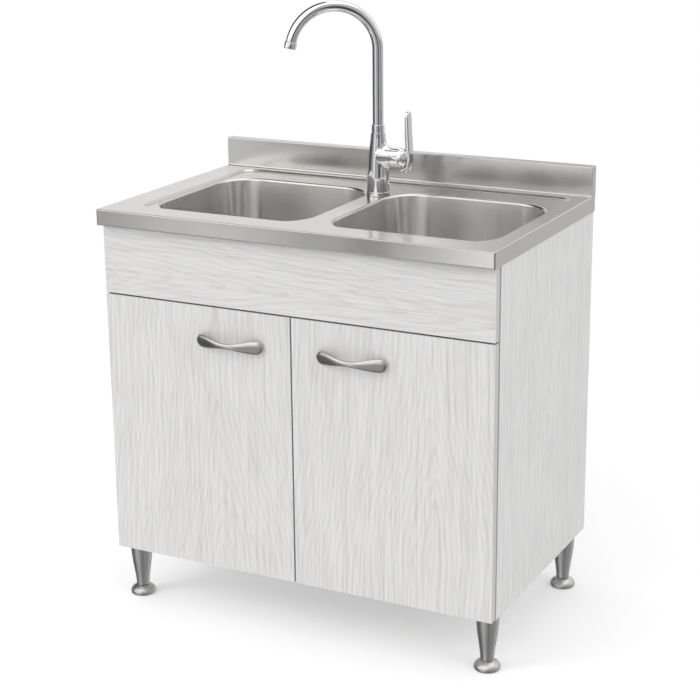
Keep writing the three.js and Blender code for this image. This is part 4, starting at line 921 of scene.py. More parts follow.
def body_net():
    """Points and faces: rows round the column, with a window where the branch comes out."""
    low, high = body_foot + EDGE, body_top - EDGE
    bottom, top = branch_z - branch_radius, branch_z + branch_radius
    heights = [*np.linspace(low, bottom, LEVELS_BELOW, endpoint=False),
               *np.linspace(bottom, top, LEVELS_BRANCH, endpoint=False),
               *np.linspace(top, high, LEVELS_ABOVE + 1)]
    angles = np.arange(ROUND) / ROUND * 2 * math.pi - math.pi / 2
    points, faces = [], []
    for z in heights:
        r = float(column_radius(z - body_foot))
        points += [(r * math.cos(a), r * math.sin(a), z) for a in angles]
    half = ROUND // 2
    first, last = LEVELS_BELOW, LEVELS_BELOW + LEVELS_BRANCH
    for row in range(len(heights) - 1):
        for i in range(ROUND):
            if first <= row < last and i < half:
                continue
            j = (i + 1) % ROUND
            faces.append((row * ROUND + i, row * ROUND + j,
                          (row + 1) * ROUND + j, (row + 1) * ROUND + i))
    window = [first * ROUND + i for i in range(half)]
    window += [row * ROUND + half for row in range(first, last)]
    window += [last * ROUND + i for i in range(half, 0, -1)]
    window += [row * ROUND for row in range(last, first, -1)]
    ring = window
    for k in range(1, BRANCH_LOOPS + 1):
        t = k / BRANCH_LOOPS
        fresh = []
        for corner in window:
            start = Vector(points[corner])
            a = math.atan2(start.z - branch_z, start.y)
            end = Vector((branch_end - EDGE, branch_radius * math.cos(a),
                          branch_z + branch_radius * math.sin(a)))
            fresh.append(len(points))
            points.append(tuple(start.lerp(end, t)))
        for i in range(len(ring)):
            j = (i + 1) % len(ring)
            faces.append((ring[i], ring[j], fresh[j], fresh[i]))
        ring = fresh
    ends = {"foot": range(ROUND), "mouth": range((len(heights) - 1) * ROUND, len(heights) * ROUND),
            "branch": ring}
    return np.array(points, float), faces, ends


def make_tap_casting():
    """The net, drawn onto the blended surface and evened out."""
    points, faces, ends = body_net()
    neighbours = [set() for _ in points]
    for face in faces:
        for a, b in zip(face, face[1:] + face[:1]):
            neighbours[a].add(b)
            neighbours[b].add(a)
    fixed = np.zeros(len(points), bool)
    for ring in ends.values():
        fixed[list(ring)] = True
    width = max(len(n) for n in neighbours)
    table = np.array([list(n) + [i] * (width - len(n)) for i, n in enumerate(neighbours)])
    for pull in range(PULLS):
        if pull < EVENING_PULLS:
            even = points[table].mean(axis=1)
            points = np.where(fixed[:, None], points, 0.5 * points + 0.5 * even)
        for _ in range(2):
            slope = body_slope(points)
            size = np.maximum((slope ** 2).sum(axis=1), 1e-6)
            move = -(body_distance(points) / size)[:, None] * slope
            points = np.where(fixed[:, None], points, points + np.clip(move, -2, 2))
    normals = body_slope(points)
    normals /= np.linalg.norm(normals, axis=1)[:, None]
    placed = points + np.array((tap_axis.x, tap_axis.y, 0))
    mesh = bpy.data.meshes.new("tap_casting")
    mesh.from_pydata((placed * MM).tolist(), [], [list(f) for f in faces])
    mesh.shade_smooth()
    mesh.normals_split_custom_set_from_vertices(normals.tolist())
    return show("tap_casting", mesh)


tap_casting = dress(make_tap_casting(), chrome, "tap_body")
print("tap casting:", len(tap_casting.data.polygons), "faces")

# %% [markdown]
# The ends of the casting are turned faces with a fine rounding: the foot on its ring, the
# mouth that holds the spout, and the end of the branch. Each is spun separately, so that the
# edge stays crisp where the two surfaces meet. Below the sink the body goes on as a shank.

# %% Turned ends of the body
SHANK_RADIUS = 16.5
SPOUT_RADIUS = 10.3
SOCKET, SOCKET_DEPTH = 11.1, 26.0
CHAMBER, CHAMBER_DEPTH = 15.3, 17.3


def threaded(radius, low, high, pitch=1.5, depth=0.45):
    """The side of a thread as rings: it only has to look cut, so its grooves are level."""
    steps = int((high - low) / pitch)
    points = [(radius - depth * (i % 2), low + i * pitch / 2) for i in range(2 * steps)]
    return points + [(radius, low + steps * pitch)]


foot_radius = float(column_radius(EDGE))
mouth_radius = float(column_radius(body_top - body_foot - EDGE))
axis_place = (tap_axis.x, tap_axis.y, 0)
branch_place = (tap_axis.x, tap_axis.y, branch_z)
ends = {
    "tap_foot": ([
        (0, body_low.z), (SHANK_RADIUS - 1, body_low.z),
        *threaded(SHANK_RADIUS, body_low.z + 1, body_foot - 6),
        (SHANK_RADIUS, body_foot), (foot_radius, body_foot, EDGE), (foot_radius, body_foot + EDGE),
    ], axis_place, 0.25),
    "tap_mouth": ([
        (mouth_radius, body_top - EDGE), (mouth_radius, body_top, EDGE), (SOCKET, body_top),
        (SOCKET, body_top - SOCKET_DEPTH), (0, body_top - SOCKET_DEPTH),
    ], axis_place),
    "tap_branch_end": ([
        (branch_radius, branch_end - EDGE), (branch_radius, branch_end, EDGE), (CHAMBER, branch_end),
        (CHAMBER, branch_end - CHAMBER_DEPTH), (0, branch_end - CHAMBER_DEPTH),
    ], branch_place, 0.5, ALONG_X),
}
for name, shape in ends.items():
    seat(turned(name, *shape), chrome, "tap_body")
print("shank, mm:", round(body_foot - body_low.z))

# %% [markdown]
# The spout is a tube that was bent round a former, so it is swept along its middle line. It
# swivels in the mouth of the body, with a collar over the joint and an aerator screwed in the
# end. All three ride on the spout's own body.

# %% Ring, collar, spout and aerator
SPOUT_STRAIGHT = 279.0
SPOUT_BEND = 83.0
SPOUT_ARC = math.radians(167)
SPOUT_AZIMUTH = math.radians(216)
AERATOR_RADIUS, AERATOR_LENGTH = 11.6, 13.0
AERATOR_MOUTH = 9.3

spout_out = Vector((math.cos(SPOUT_AZIMUTH), math.sin(SPOUT_AZIMUTH), 0))
bend_start = Vector((tap_axis.x, tap_axis.y, field_top + SPOUT_STRAIGHT))


def spout_point(angle):
    """A point on the bend's middle line."""
    rise = Vector((0, 0, SPOUT_BEND * math.sin(angle)))
    return bend_start + spout_out * SPOUT_BEND * (1 - math.cos(angle)) + rise


bore = SHANK_RADIUS + 0.3
dress(turned("tap_ring_turned", [
    (bore, tap_low.z), (tap_half.x, tap_low.z, 0.4), (tap_half.x, tap_high.z, 1.1), (bore, tap_high.z),
], axis_place, 0.4), chrome, "tap_ring")
path = [Vector((tap_axis.x, tap_axis.y, spout_low.z)), Vector((tap_axis.x, tap_axis.y, body_top))]
path += [path[-1].lerp(bend_start, i / 6) for i in range(1, 7)]
path += [spout_point(SPOUT_ARC * i / 64) for i in range(1, 65)]
dress(sweep("spout_tube", path, SPOUT_RADIUS), chrome, "spout")
low, high, _, half = span_mm("spout_collar")
dress(turned("spout_collar_turned", [
    (SPOUT_RADIUS, low.z), (half.x - 0.4, low.z, 0.2), (half.x, low.z + 1.2, 0.4),
    (half.x, high.z, 0.8), (SPOUT_RADIUS, high.z),
], axis_place), chrome, "spout_collar")
tip = spout_point(SPOUT_ARC)
tip_turn = (tip - spout_point(SPOUT_ARC - 0.001)).to_track_quat("Z", "Y").to_matrix()
dress(turned("aerator_turned", [
    (0, 0.3), (SPOUT_RADIUS, 0.3), (AERATOR_RADIUS, 1.3), (AERATOR_RADIUS, 4, 0.2),
    (AERATOR_RADIUS - 0.4, 4.3, 0.1), (AERATOR_RADIUS, 4.6, 0.2), (AERATOR_RADIUS, AERATOR_LENGTH),
    (AERATOR_MOUTH, AERATOR_LENGTH), (AERATOR_MOUTH, 9), (0, 9),
], tip, 0.6, tip_turn), chrome, "aerator")
print("spout tip at", [round(v) for v in tip])

# %% [markdown]
# The cartridge sits in the branch under a domed nut. Its spindle holds the lever's stem, so
# the lever turns about the branch for warm and cold, and tilts on the pin for more water. The
# cap of the lever is part of a ball about that pin, which keeps the joint closed as it tilts.

# %% Cartridge, nut and spindle
PIN_BEHIND = 5.0     # the pin, from the lever's inner end
DOME_WALL = 2.2
DOME_MOUTH = 12.5
CARTRIDGE_RADIUS, CARTRIDGE_NOSE = 15.0, 12.5

pin_x = lever_low.x + PIN_BEHIND - tap_axis.x
dome_inner = branch_radius - DOME_WALL


def arc_points(radius, start, end, steps=12):
    """Points (radius, height) on a circle about the pin, from one polar angle to another."""
    angles = [start + (end - start) * i / steps for i in range(steps + 1)]
    return [(radius * math.sin(a), pin_x + radius * math.cos(a)) for a in angles]


nut_start = branch_end + BODY_FOOT_GAP
mouth_out, mouth_in = math.asin(DOME_MOUTH / branch_radius), math.asin(DOME_MOUTH / dome_inner)
nut_line = [(CHAMBER, nut_start), (branch_radius - 0.5, nut_start), (branch_radius, nut_start + 0.6)]
nut_line += arc_points(branch_radius, math.pi / 2, mouth_out)
nut_line += arc_points(dome_inner, mouth_in, math.radians(75))
nut_line += [(CHAMBER, pin_x - 2), (CHAMBER, nut_start)]
dress(spin("cartridge_nut_turned", nut_line, branch_place, ALONG_X), chrome, "cartridge_nut")
rear, front = (corner.x - tap_axis.x for corner in box_mm("cartridge"))
dress(turned("cartridge_moulded", [
    (0, rear), (CARTRIDGE_RADIUS, rear), (CARTRIDGE_RADIUS, front - 3), (CARTRIDGE_NOSE, front - 3),
    (CARTRIDGE_NOSE, front), (0, front),
], branch_place, 0.6, ALONG_X), white_plastic, "cartridge")
spindle = flat_copy("cartridge_spindle_milled", "cartridge_spindle")
dress(round_edges(spindle, 0.3), brass, "cartridge_spindle")
print("pin, mm from the tap's axis:", round(pin_x))

# %% The lever
BALL_GAP = 0.6
CAP_WALL = 3.0
CAP_ANGLE = math.radians(60)
BLADE_WIDTH = 20.0
BLADE_REACH = 90.0
STEM_RADIUS = 4.0
BLADE_STATIONS = (
    # height above the pin, inner and outer face from the middle of the cap's wall
    (-27.5, -15.0, -6.0), (-26.7, -17.0, -3.8), (-24.5, -18.0, -1.8), (-23.5, -18.2, -0.6),
    (-21, -11.0, 0.4), (-18, -6.0, 1.4), (-12, -3.4, 2.7), (-5, -2.0, 3.8), (4, -2.0, 4.3),
    (12, -3.4, 4.2), (17, -6.2, 3.9), (24, -7.2, 3.4), (45, -7.4, 2.0), (65, -7.5, 0.9),
    (78, -7.3, 0.3), (84, -6.9, 0.1), (87.5, -6.3, -0.3), (89.3, -5.4, -0.9), (90, -4.2, -2.0),
)

cap_inner, cap_outer = branch_radius + BALL_GAP, branch_radius + BALL_GAP + CAP_WALL


def square_ring(middle, half, z, power=4.0):
    """A squarish oval in plan, as a ring of points."""
    ring = []
    for a in around(56):
        c, s = math.cos(a), math.sin(a)
        ring.append((middle[0] + half[0] * math.copysign(abs(c) ** (2 / power), c),
                     middle[1] + half[1] * math.copysign(abs(s) ** (2 / power), s), z))
    return ring


def make_blade():
    """The upright blade with its heel: one skin through squarish rings."""
    face = tap_axis.x + pin_x + (cap_inner + cap_outer) / 2
    rings = []
    for z, inner, outer in BLADE_STATIONS:
        half = BLADE_WIDTH / 2
        over = max(z - (BLADE_REACH - half), 0) / half
        half *= max(math.sqrt(max(1 - over ** 2, 0)), 0.18)
        middle = (face + (inner + outer) / 2, tap_axis.y)
        rings.append(square_ring(middle, ((outer - inner) / 2, half), branch_z + z))
    blade = draw_skin("lever_blade", rings)
    smoothing = blade.modifiers.new("soft_form", "SUBSURF")
    smoothing.levels = smoothing.render_levels = 1
    return blade


cap_line = arc_points(cap_inner, 0, CAP_ANGLE, 14) + arc_points(cap_outer, CAP_ANGLE, 0, 14)
dress(make_blade(), chrome, "lever")
seat(turned("lever_cap", cap_line, branch_place, 0.8, ALONG_X), chrome, "lever")
eye_edge = math.pi - math.asin(STEM_RADIUS / PIN_BEHIND)
stem_line = arc_points(PIN_BEHIND, math.pi, eye_edge, 6)
stem_line += [(STEM_RADIUS, pin_x + cap_inner + 1), (0, pin_x + cap_inner + 1)]
seat(spin("lever_stem", stem_line, branch_place, ALONG_X), chrome, "lever")
print("lever reaches", round(BLADE_REACH), "mm above its pin")

# %% The nut under the sink
def make_tap_nut():
    """A hexagonal brass nut on a round washer face."""
    low, high, _, half = span_mm("tap_nut")
    radius = half.x
    rings = []
    # height, radius, and how much of the hexagon shows
    for z, r, flat in ((high.z, bore, 0), (high.z, radius, 0), (high.z - 3, radius, 0),
                       (high.z - 3.2, radius - 0.8, 1), (low.z + 0.8, radius - 0.8, 1),
                       (low.z, radius - 2, 0.6), (low.z, bore, 0)):
        ring = []
        for a in around(72):
            hexagon = (radius - 2.4) / math.cos(a % (math.pi / 3) - math.pi / 6)
            own = r + (min(hexagon, r) - r) * flat
            ring += circle(tap_axis, own, z, [a])
        rings.append(ring)
    return draw_skin("tap_nut_turned", rings, closed=True)


dress(make_tap_nut(), brass, "tap_nut")
print("tap pieces are done")

# %% [markdown]
# ## The handles
# Each door has a bow handle of die-cast metal with a satin plating. It is tall and flat at the
# ends and slim at the waist, and it arches away from the door so that fingers fit behind. The
# bow is drawn through oval sections whose height and distance follow two smooth curves.

# %% Make the handles
HANDLE_THICKNESS = 9.0
HANDLE_END_HEIGHT = 25.0
HANDLE_WAIST = 11.0
HANDLE_HOLES = 96.0
SWELL_END = 0.85     # share of the half length where the bow is full height
BOW_ARCH = 1.3       # power of the cosine that bends the bow
POST_RADIUS = 6.0
DOOR_CLEARANCE = 0.3
BOW_STATIONS, BOW_SIDES = 72, 40


def bow_section(along, length, projection):
    """Height, distance from the door and thickness of the bow, at a place along it."""
    reach = abs(along) / (length / 2)
    end = HANDLE_END_HEIGHT / 2
    past = max(abs(along) - (length / 2 - end), 0)
    tip = math.sqrt(max(1 - (past / end) ** 2, 0.003))
    swell = min(reach / SWELL_END, 1)
    swell = swell * swell * (3 - 2 * swell)
    height = (HANDLE_WAIST + (HANDLE_END_HEIGHT - HANDLE_WAIST) * swell) * tip
    rise = math.cos(min(reach, 1) * math.pi / 2) ** BOW_ARCH
    middle = HANDLE_THICKNESS / 2 + (projection - HANDLE_THICKNESS) * rise
    return height, middle, HANDLE_THICKNESS * (0.3 + 0.7 * tip)


def make_handle(node, door):
    """A bow with its two posts, just clear of the door."""
    low, _, middle, half = span_mm(node)
    front = box_mm(door)[0].y
    length, projection = 2 * half.x, front - low.y
    loops = []
    for i in range(BOW_STATIONS + 1):
        along = -math.cos(i / BOW_STATIONS * math.pi) * half.x
        height, out, thick = bow_section(along, length, projection)
        loops.append([(middle.x + along,
                       min(front - out + thick / 2 * math.cos(a), front - DOOR_CLEARANCE),
                       middle.z + height / 2 * math.sin(a)) for a in around(BOW_SIDES)])
    pieces = [draw_skin("bow", loops)]
    depth = bow_section(HANDLE_HOLES / 2, length, projection)[1]
    for end in (-1, 1):
        place = (middle.x + end * HANDLE_HOLES / 2, front - DOOR_CLEARANCE, middle.z)
        pieces.append(turned("post", disc(POST_RADIUS, 0, -depth), place, 0.4, ALONG_Y, 40))
    return merge(f"{node}_cast", pieces)


for side in SIDES:
    dress(make_handle(f"handle_{side}", f"door_{side}"), nickel, f"handle_{side}")
print("handles:", len(SIDES))

# %% The handles' screws
SCREW_RADIUS = 2.0


def make_pan_screw(name, node):
    """A screw along Y with its domed, slotted head on the inside of the door."""
    low, _, middle, half = span_mm(node)
    head, length = half.x, 2 * half.y
    thread = threaded(SCREW_RADIUS, 0.8, 9, 0.8, 0.3)
    line = [(0, 0), (SCREW_RADIUS - 0.6, 0), *thread, (SCREW_RADIUS, length - 2.4),
            (head, length - 2.3, 0.2), (head, length - 1.1, 0.8), (head * 0.6, length - 0.2),
            (1.4, length, 0.1), (1.2, length - 1.0, 0.1), (0, length - 1.2)]
    return turned(name, line, (middle.x, low.y, middle.z), 0.2, ALONG_Y, 40)


screws = [f"handle_screw_{side}_{number}" for side in SIDES for number in (1, 2)]
for node in screws:
    dress(make_pan_screw(f"{node}_turned", node), hinge_steel, node)
print("handle screws:", len(screws))

# %% [markdown]
# ## The legs and feet
# The legs are tapered metal tubes, spun here from one flowing outline. A stud goes up into the
# bottom board. The foot is a domed disc on a threaded stem, which screws in and out to level
# the cabinet.

# %% Make the legs and feet
# Share of the leg's height, and share of its flare that is reached there.
LEG_SHARES = ((0, 0), (0.06, 0.02), (0.2, 0.16), (0.36, 0.40), (0.53, 0.66), (0.77, 0.92),
              (0.9, 0.985), (1, 1))
FLARE_TOP = 0.988    # share of the height where the flare ends
LEG_FOOT_RADIUS = 12.5
STUD_RADIUS, STUD_LENGTH = 5.0, 14.0
FOOT_RIM, FOOT_TUCK = 4.5, 1.8
FOOT_HEIGHT = 17.7
FOOT_NECK, FOOT_STEM = 9.0, 4.0


def make_leg(node):
    """The tapered tube with its stud."""
    low, high, middle, half = span_mm(node)
    wide, narrow, top = half.x, LEG_FOOT_RADIUS, high.z - STUD_LENGTH
    ups, outs = zip(*LEG_SHARES)
    line = [(4.6, low.z), (narrow - 0.2, low.z), (narrow, low.z + 0.5)]
    for i in range(1, 25):
        up = i / 24 * FLARE_TOP
        spread = np.interp(up + np.linspace(-0.06, 0.06, 7), ups, outs).mean()
        line.append((narrow + (wide - narrow) * float(spread), low.z + (top - low.z) * up))
    stud = [(STUD_RADIUS, top), (STUD_RADIUS, high.z - 1), (STUD_RADIUS - 1, high.z), (0, high.z)]
    line += soften([line[-1], (wide, top), *stud], 0.5)[1:]
    return spin(f"{node}_spun", line, (middle.x, middle.y, 0), segments=80)


def make_foot(node):
    """The domed foot with its threaded stem."""
    low, high, middle, half = span_mm(node)
    radius, dome_foot, dome_top = half.x, low.z + FOOT_RIM, low.z + FOOT_HEIGHT
    line = [(0, low.z), (radius - FOOT_TUCK, low.z)]
    line += [(radius - FOOT_TUCK * (1 - math.sin(a)), low.z + FOOT_RIM * (1 - math.cos(a)))
             for a in quarter_turn(6, 1)]
    line += [(FOOT_NECK + (radius - FOOT_NECK) * math.cos(a) ** 1.5,
              dome_foot + (dome_top - dome_foot) * math.sin(a)) for a in quarter_turn(16, 1)]
    line += [(FOOT_STEM, dome_top), *threaded(FOOT_STEM, dome_top + 0.5, high.z - 1, 1.5, 0.4),
             (0, high.z)]
    return spin(f"{node}_spun", line, (middle.x, middle.y, 0), segments=80)


corners = [f"{end}_{side}" for end in ("front", "rear") for side in SIDES]
for corner in corners:
    dress(make_leg(f"leg_{corner}"), leg_metal, f"leg_{corner}")
    dress(make_foot(f"foot_{corner}"), leg_metal, f"foot_{corner}")
print("legs and feet:", 2 * len(corners))

# %% [markdown]
# ## The concealed hinges
# Each door hangs on two cup hinges. The cup is pressed into the door's back, the arm is
# screwed to the side board, and the link between them swings as the door opens. Arms and links
# keep the solids' shapes with their edges rounded, the cups are turned, and screws are added.

# %% Make the hinges
CUP_RADIUS, CUP_BORE, CUP_DEPTH = 17.2, 16.0, 11.0
FLANGE_RADIUS, FLANGE_FRONT, FLANGE_BACK = 20.2, 0.3, 1.3
WING_REACH, WING_HALF, WING_ROOT = 26.0, 7.0, 15.5
PIN_RADIUS, PIN_HALF, PIN_SINK, PIN_OFFSET = 0.8, 16.4, 1.0, 1.2
ARM_SCREWS = (
    # distance from the arm's end, height, place above the plate or on the arm, and radius
    (23, 20, "plate", 3.6), (23, -20, "plate", 3.6), (8, 0, "arm", 3.4), (30, 0, "arm", 3.0),
)
PLATE_THICKNESS = 2.4


def screw_head(radius, at, turn):
    """A flat slotted screw head."""
    return turned("screw", [(0, 0), (radius, 0, 0.1), (radius, 0.9, 0.4), (radius * 0.4, 1.5, 0.1),
                            (radius * 0.36, 0.8, 0.05), (0, 0.6)], at, 0.2, turn, 36)


def make_cup(node):
    """The pressed cup with its wings and the link's pin."""
    _, high, middle, _ = span_mm(node)
    back = high.y - FLANGE_BACK
    pieces = [spin("cup", soften([
        (0, -CUP_DEPTH), (CUP_RADIUS, -CUP_DEPTH, 2.5), (CUP_RADIUS, FLANGE_FRONT, 0.2),
        (FLANGE_RADIUS, FLANGE_FRONT, 0.2), (FLANGE_RADIUS, FLANGE_BACK, 0.4),
        (CUP_BORE, FLANGE_BACK, 0.8), (CUP_BORE, 1.2 - CUP_DEPTH, 2), (0, 1.2 - CUP_DEPTH),
    ], 0.5, 6), (middle.x, back, middle.z), ALONG_Y)]
    hub = WING_REACH - WING_HALF
    turn = [-math.pi / 2 + math.pi * i / 24 for i in range(25)]
    outline = [(WING_HALF * math.sin(a), hub + WING_HALF * math.cos(a)) for a in turn]
    outline = [(-WING_HALF, WING_ROOT), *outline, (WING_HALF, WING_ROOT)]
    for end in (-1, 1):
        loops = [[(middle.x + x, back + y, middle.z + end * z) for x, z in outline]
                 for y in (FLANGE_FRONT, FLANGE_BACK - 0.2, FLANGE_BACK)]
        pieces.append(draw_skin("wing", loops))
        place = (middle.x, back + FLANGE_BACK - 0.1, middle.z + end * (hub + 2))
        pieces.append(screw_head(3.6, place, ALONG_Y))
    link_x = middle.x + math.copysign(PIN_OFFSET, middle.x)
    pieces.append(spin("pin", disc(PIN_RADIUS, -PIN_HALF, PIN_HALF),
                       (link_x, back - PIN_SINK, middle.z), segments=24))
    return merge(f"{node}_pressed", pieces)


def make_arm(node):
    """The channel arm on its plate, with the fixing and adjusting screws."""
    low, high, middle, _ = span_mm(node)
    side = 1 if low.x > 0 else -1
    wall, inside = (high.x, low.x) if side > 0 else (low.x, high.x)
    levels = {"plate": wall - side * PLATE_THICKNESS, "arm": inside}
    across = Matrix(((0, 0, -side), (0, 1, 0), (side, 0, 0)))
    pieces = [settle(round_edges(flat_copy("arm", node), 0.5))]
    for from_end, up, level, radius in ARM_SCREWS:
        place = (levels[level], high.y - from_end, middle.z + up)
        pieces.append(screw_head(radius, place, across))
    return merge(f"{node}_pressed", pieces)


tails = [f"{side}_{level}" for side in SIDES for level in ("lower", "upper")]
for tail in tails:
    dress(make_cup(f"hinge_cup_{tail}"), hinge_steel, f"hinge_cup_{tail}")
    dress(make_arm(f"hinge_arm_{tail}"), hinge_steel, f"hinge_arm_{tail}")
    link = flat_copy(f"hinge_link_{tail}_pressed", f"hinge_link_{tail}")
    dress(round_edges(link, 0.4), hinge_steel, f"hinge_link_{tail}")
print("hinges:", len(tails))

# %% [markdown]
# ## Drains and waste pipes
# Under each bowl a steel flange is drawn down on a plastic waste body. Two bends lead to a
# tee, a bottle trap keeps the smell out, and one pipe leaves through the open back. These are
# turned or swept shapes, and the union nuts have ribs for the fingers.

# %% Flanges and strainers
NECK_RADIUS, NECK_BORE = 42.9, 39.9
CUP_WALL = 39.3      # radius of the strainer's cup
SKIN = 0.8
KNOB_RADIUS, KNOB_RISE = 9.0, 9.0
HOLE_RINGS = ((6, 13.0), (12, 24.0))  # how many, and at what radius
HOLE_RADIUS = 2.6


def make_flange(node):
    """The drawn flange with its neck."""
    low, high, middle, half = span_mm(node)
    outer, top = half.x, high.z
    line = [(NECK_BORE, low.z), (NECK_RADIUS, low.z), (NECK_RADIUS, top - 1.5),
            (outer, top - 1.5, 0.1), (outer, top - 0.4, 0.5), (outer - 4, top, 1),
            (NECK_RADIUS + 2, top, 2), (NECK_BORE, top - 3.4, 2), (NECK_BORE, low.z)]
    return turned(f"{node}_drawn", line, (middle.x, middle.y, 0), 0.3, UPRIGHT, 96)


def perforated_floor(centre, radius, z):
    """A round plate with rings of small holes."""
    holes = []
    for count, reach in HOLE_RINGS:
        for hub in circle(centre, reach, z, around(count)):
            holes.append(circle(hub, HOLE_RADIUS, z, around(16)))
    plate = grow("floor", *fill_between(circle(centre, radius, z, around(72)), holes))
    solid = plate.modifiers.new("sheet", "SOLIDIFY")
    solid.thickness = SKIN * MM
    solid.offset = 0
    return settle(plate)


def make_strainer(node):
    """The strainer cup with its perforated floor and lifting knob."""
    low, high, middle, half = span_mm(node)
    at, rim, foot, top = (middle.x, middle.y, 0), half.x, low.z, high.z
    rim_low, inner = top - KNOB_RISE, CUP_WALL - SKIN
    wall = turned("cup", [
        (CUP_WALL - 7, foot + 0.4), (CUP_WALL - 6, foot + 0.1, 0.1), (CUP_WALL, foot + 6, 4),
        (CUP_WALL, rim_low, 0.4), (rim, rim_low, 0.1), (rim, rim_low + 0.9, 0.4),
        (inner, rim_low + 1, 1.2), (inner, foot + 6, 4), (CUP_WALL - 7, foot + 0.9, 0.2),
        (CUP_WALL - 7, foot + 0.4),
    ], at, 0.3, UPRIGHT, 96)
    knob = turned("knob", [
        (0, foot + 0.5), (5.5, foot + 0.5), (4, foot + 2, 1), (4, top - 5, 1.5),
        (KNOB_RADIUS, top - 2.6, 0.5), (KNOB_RADIUS, top - 0.8, 0.7), (KNOB_RADIUS - 3, top),
        (0, top - 0.6),
    ], at, segments=64)
    floor = perforated_floor((middle.x, middle.y), CUP_WALL - 6.4, foot + 0.65)
    return merge(f"{node}_pressed", [wall, knob, floor])


for side in SIDES:
    dress(make_flange(f"drain_flange_{side}"), bowl_steel_painted_bright, f"drain_flange_{side}")
    dress(make_strainer(f"strainer_basket_{side}"), bowl_steel_painted_bright, f"strainer_basket_{side}")
print("drains:", len(SIDES))

# %% Waste bodies and bends
PIPE_RADIUS, PIPE_WALL, PIPE_BEND = 20.0, 2.0, 34.0
WASTE_BORE, WASTE_NUT = 44.1, 27.0
NUT_RISE = 16.0
RIBS, RIB_DEPTH = 18, 1.2


def ribbed_nut(inner, outer, low, high, at, turn=UPRIGHT):
    """A union nut with ribs for the fingers."""
    rings = []
    # radius, height, and how far the ribs stand out
    for r, z, ribbed in ((inner, low, 0), (outer - 1.6, low, 0), (outer - 0.5, low + 0.8, 0.6),
                         (outer, low + 2, 1), (outer, high - 2, 1), (outer - 0.5, high - 0.8, 0.6),
                         (outer - 1.6, high, 0), (inner, high, 0)):
        ring = []
        for a in around(RIBS * 8):
            own = r - RIB_DEPTH * ribbed * (0.5 - 0.5 * math.cos(a * RIBS)) ** 2
            ring.append(turn @ Vector((own * math.cos(a), own * math.sin(a), z)) + Vector(at))
        rings.append(ring)
    return draw_skin("nut", rings, closed=True)


def make_waste_body(node):
    """The waste body under a bowl, with the union nut at its foot."""
    low, high, middle, half = span_mm(node)
    at, outer, foot, top = (middle.x, middle.y, 0), half.x, low.z, high.z
    shell = turned("shell", [
        (18, foot + 16), (PIPE_RADIUS, foot + 16), (PIPE_RADIUS, foot + 20, 2),
        (outer - 2, top - 26, 5), (outer - 2, top - 5, 0.5), (outer, top - 5, 0.5),
        (outer, top, 0.5), (WASTE_BORE, top), (WASTE_BORE, top - 24, 3), (18, foot + 18, 2),
        (18, foot + 16),
    ], at, 1, UPRIGHT, 80)
    nut = ribbed_nut(18.2, WASTE_NUT, foot, foot + NUT_RISE, at)
    return merge(f"{node}_moulded", [shell, nut])


def make_bend(node):
    """The bent pipe from a waste body to the tee."""
    low, high, middle, _ = span_mm(node)
    side = 1 if middle.x > tap_axis.x else -1
    outer_x, inner_x = (high.x, low.x) if side > 0 else (low.x, high.x)
    upright_x, y, level = outer_x - side * PIPE_RADIUS, middle.y, low.z + PIPE_RADIUS
    turn_x, turn_z = upright_x - side * PIPE_BEND, level + PIPE_BEND
    line = [Vector((upright_x, y, high.z)), Vector((upright_x, y, turn_z))]
    line += [Vector((turn_x + side * PIPE_BEND * math.cos(a), y, turn_z - PIPE_BEND * math.sin(a)))
             for a in quarter_turn(16, 1)]
    line += [line[-1].lerp(Vector((inner_x, y, level)), t) for t in (0.5, 1)]
    return sweep(f"{node}_moulded", line, PIPE_RADIUS)


for side in SIDES:
    dress(make_waste_body(f"waste_body_{side}"), white_plastic, f"waste_body_{side}")
    dress(make_bend(f"waste_bend_{side}"), white_plastic, f"waste_bend_{side}")
print("bends:", len(SIDES))

# %% Tee, trap and outlet
TEE_RADIUS, TEE_NUT, TEE_DROP = 24.0, 28.0, 28.0
TRAP_RADIUS, TRAP_GRIP = 38.0, 42.0
TRAP_OUTLET_DROP, TRAP_NUT = 30.0, 26.0


def make_tee():
    """The tee between the bends and the trap, with ribbed nuts on both arms."""
    low, high, middle, half = span_mm("waste_tee")
    level = high.z - TEE_DROP
    at = (middle.x, middle.y, level)
    down = [(0, low.z - level), (TEE_RADIUS, low.z - level), (TEE_RADIUS, -2), (0, 0)]
    pieces = [turned("across", disc(TEE_RADIUS, -half.x, half.x), at, 1, ALONG_X, 64),
              turned("down", down, at, 1, UPRIGHT, 64)]
    for end in (-1, 1):
        place = (middle.x + end * (half.x - NUT_RISE / 2), middle.y, level)
        pieces.append(ribbed_nut(TEE_RADIUS - 1, TEE_NUT, -NUT_RISE / 2, NUT_RISE / 2, place, ALONG_X))
    return merge("waste_tee_moulded", pieces)


def make_trap():
    """The bottle trap with its grip ring and the socket of the outlet."""
    low, high, middle, _ = span_mm("bottle_trap")
    foot, top, axis_y = low.z, high.z, low.y + TRAP_GRIP
    reach = high.y - axis_y
    bottle = turned("bottle", [
        (0, foot + 2), (18, foot), (32, foot, 3), (TRAP_RADIUS, foot + 8, 4),
        (TRAP_RADIUS, foot + 30, 0.4), (TRAP_GRIP, foot + 31, 0.8), (TRAP_GRIP, foot + 45, 0.8),
        (TRAP_RADIUS, foot + 46, 0.4), (TRAP_RADIUS, top - 14, 5), (30, top - 2, 2), (24, top),
        (0, top),
    ], (middle.x, axis_y, 0), 1, UPRIGHT, 80)
    at = (middle.x, axis_y, top - TRAP_OUTLET_DROP)
    socket = turned("socket", disc(22, 0, reach), at, 1.2, ALONG_Y, 64)
    nut = ribbed_nut(20.4, TRAP_NUT, reach - NUT_RISE, reach - 0.1, at, ALONG_Y)
    return merge("bottle_trap_moulded", [bottle, socket, nut])


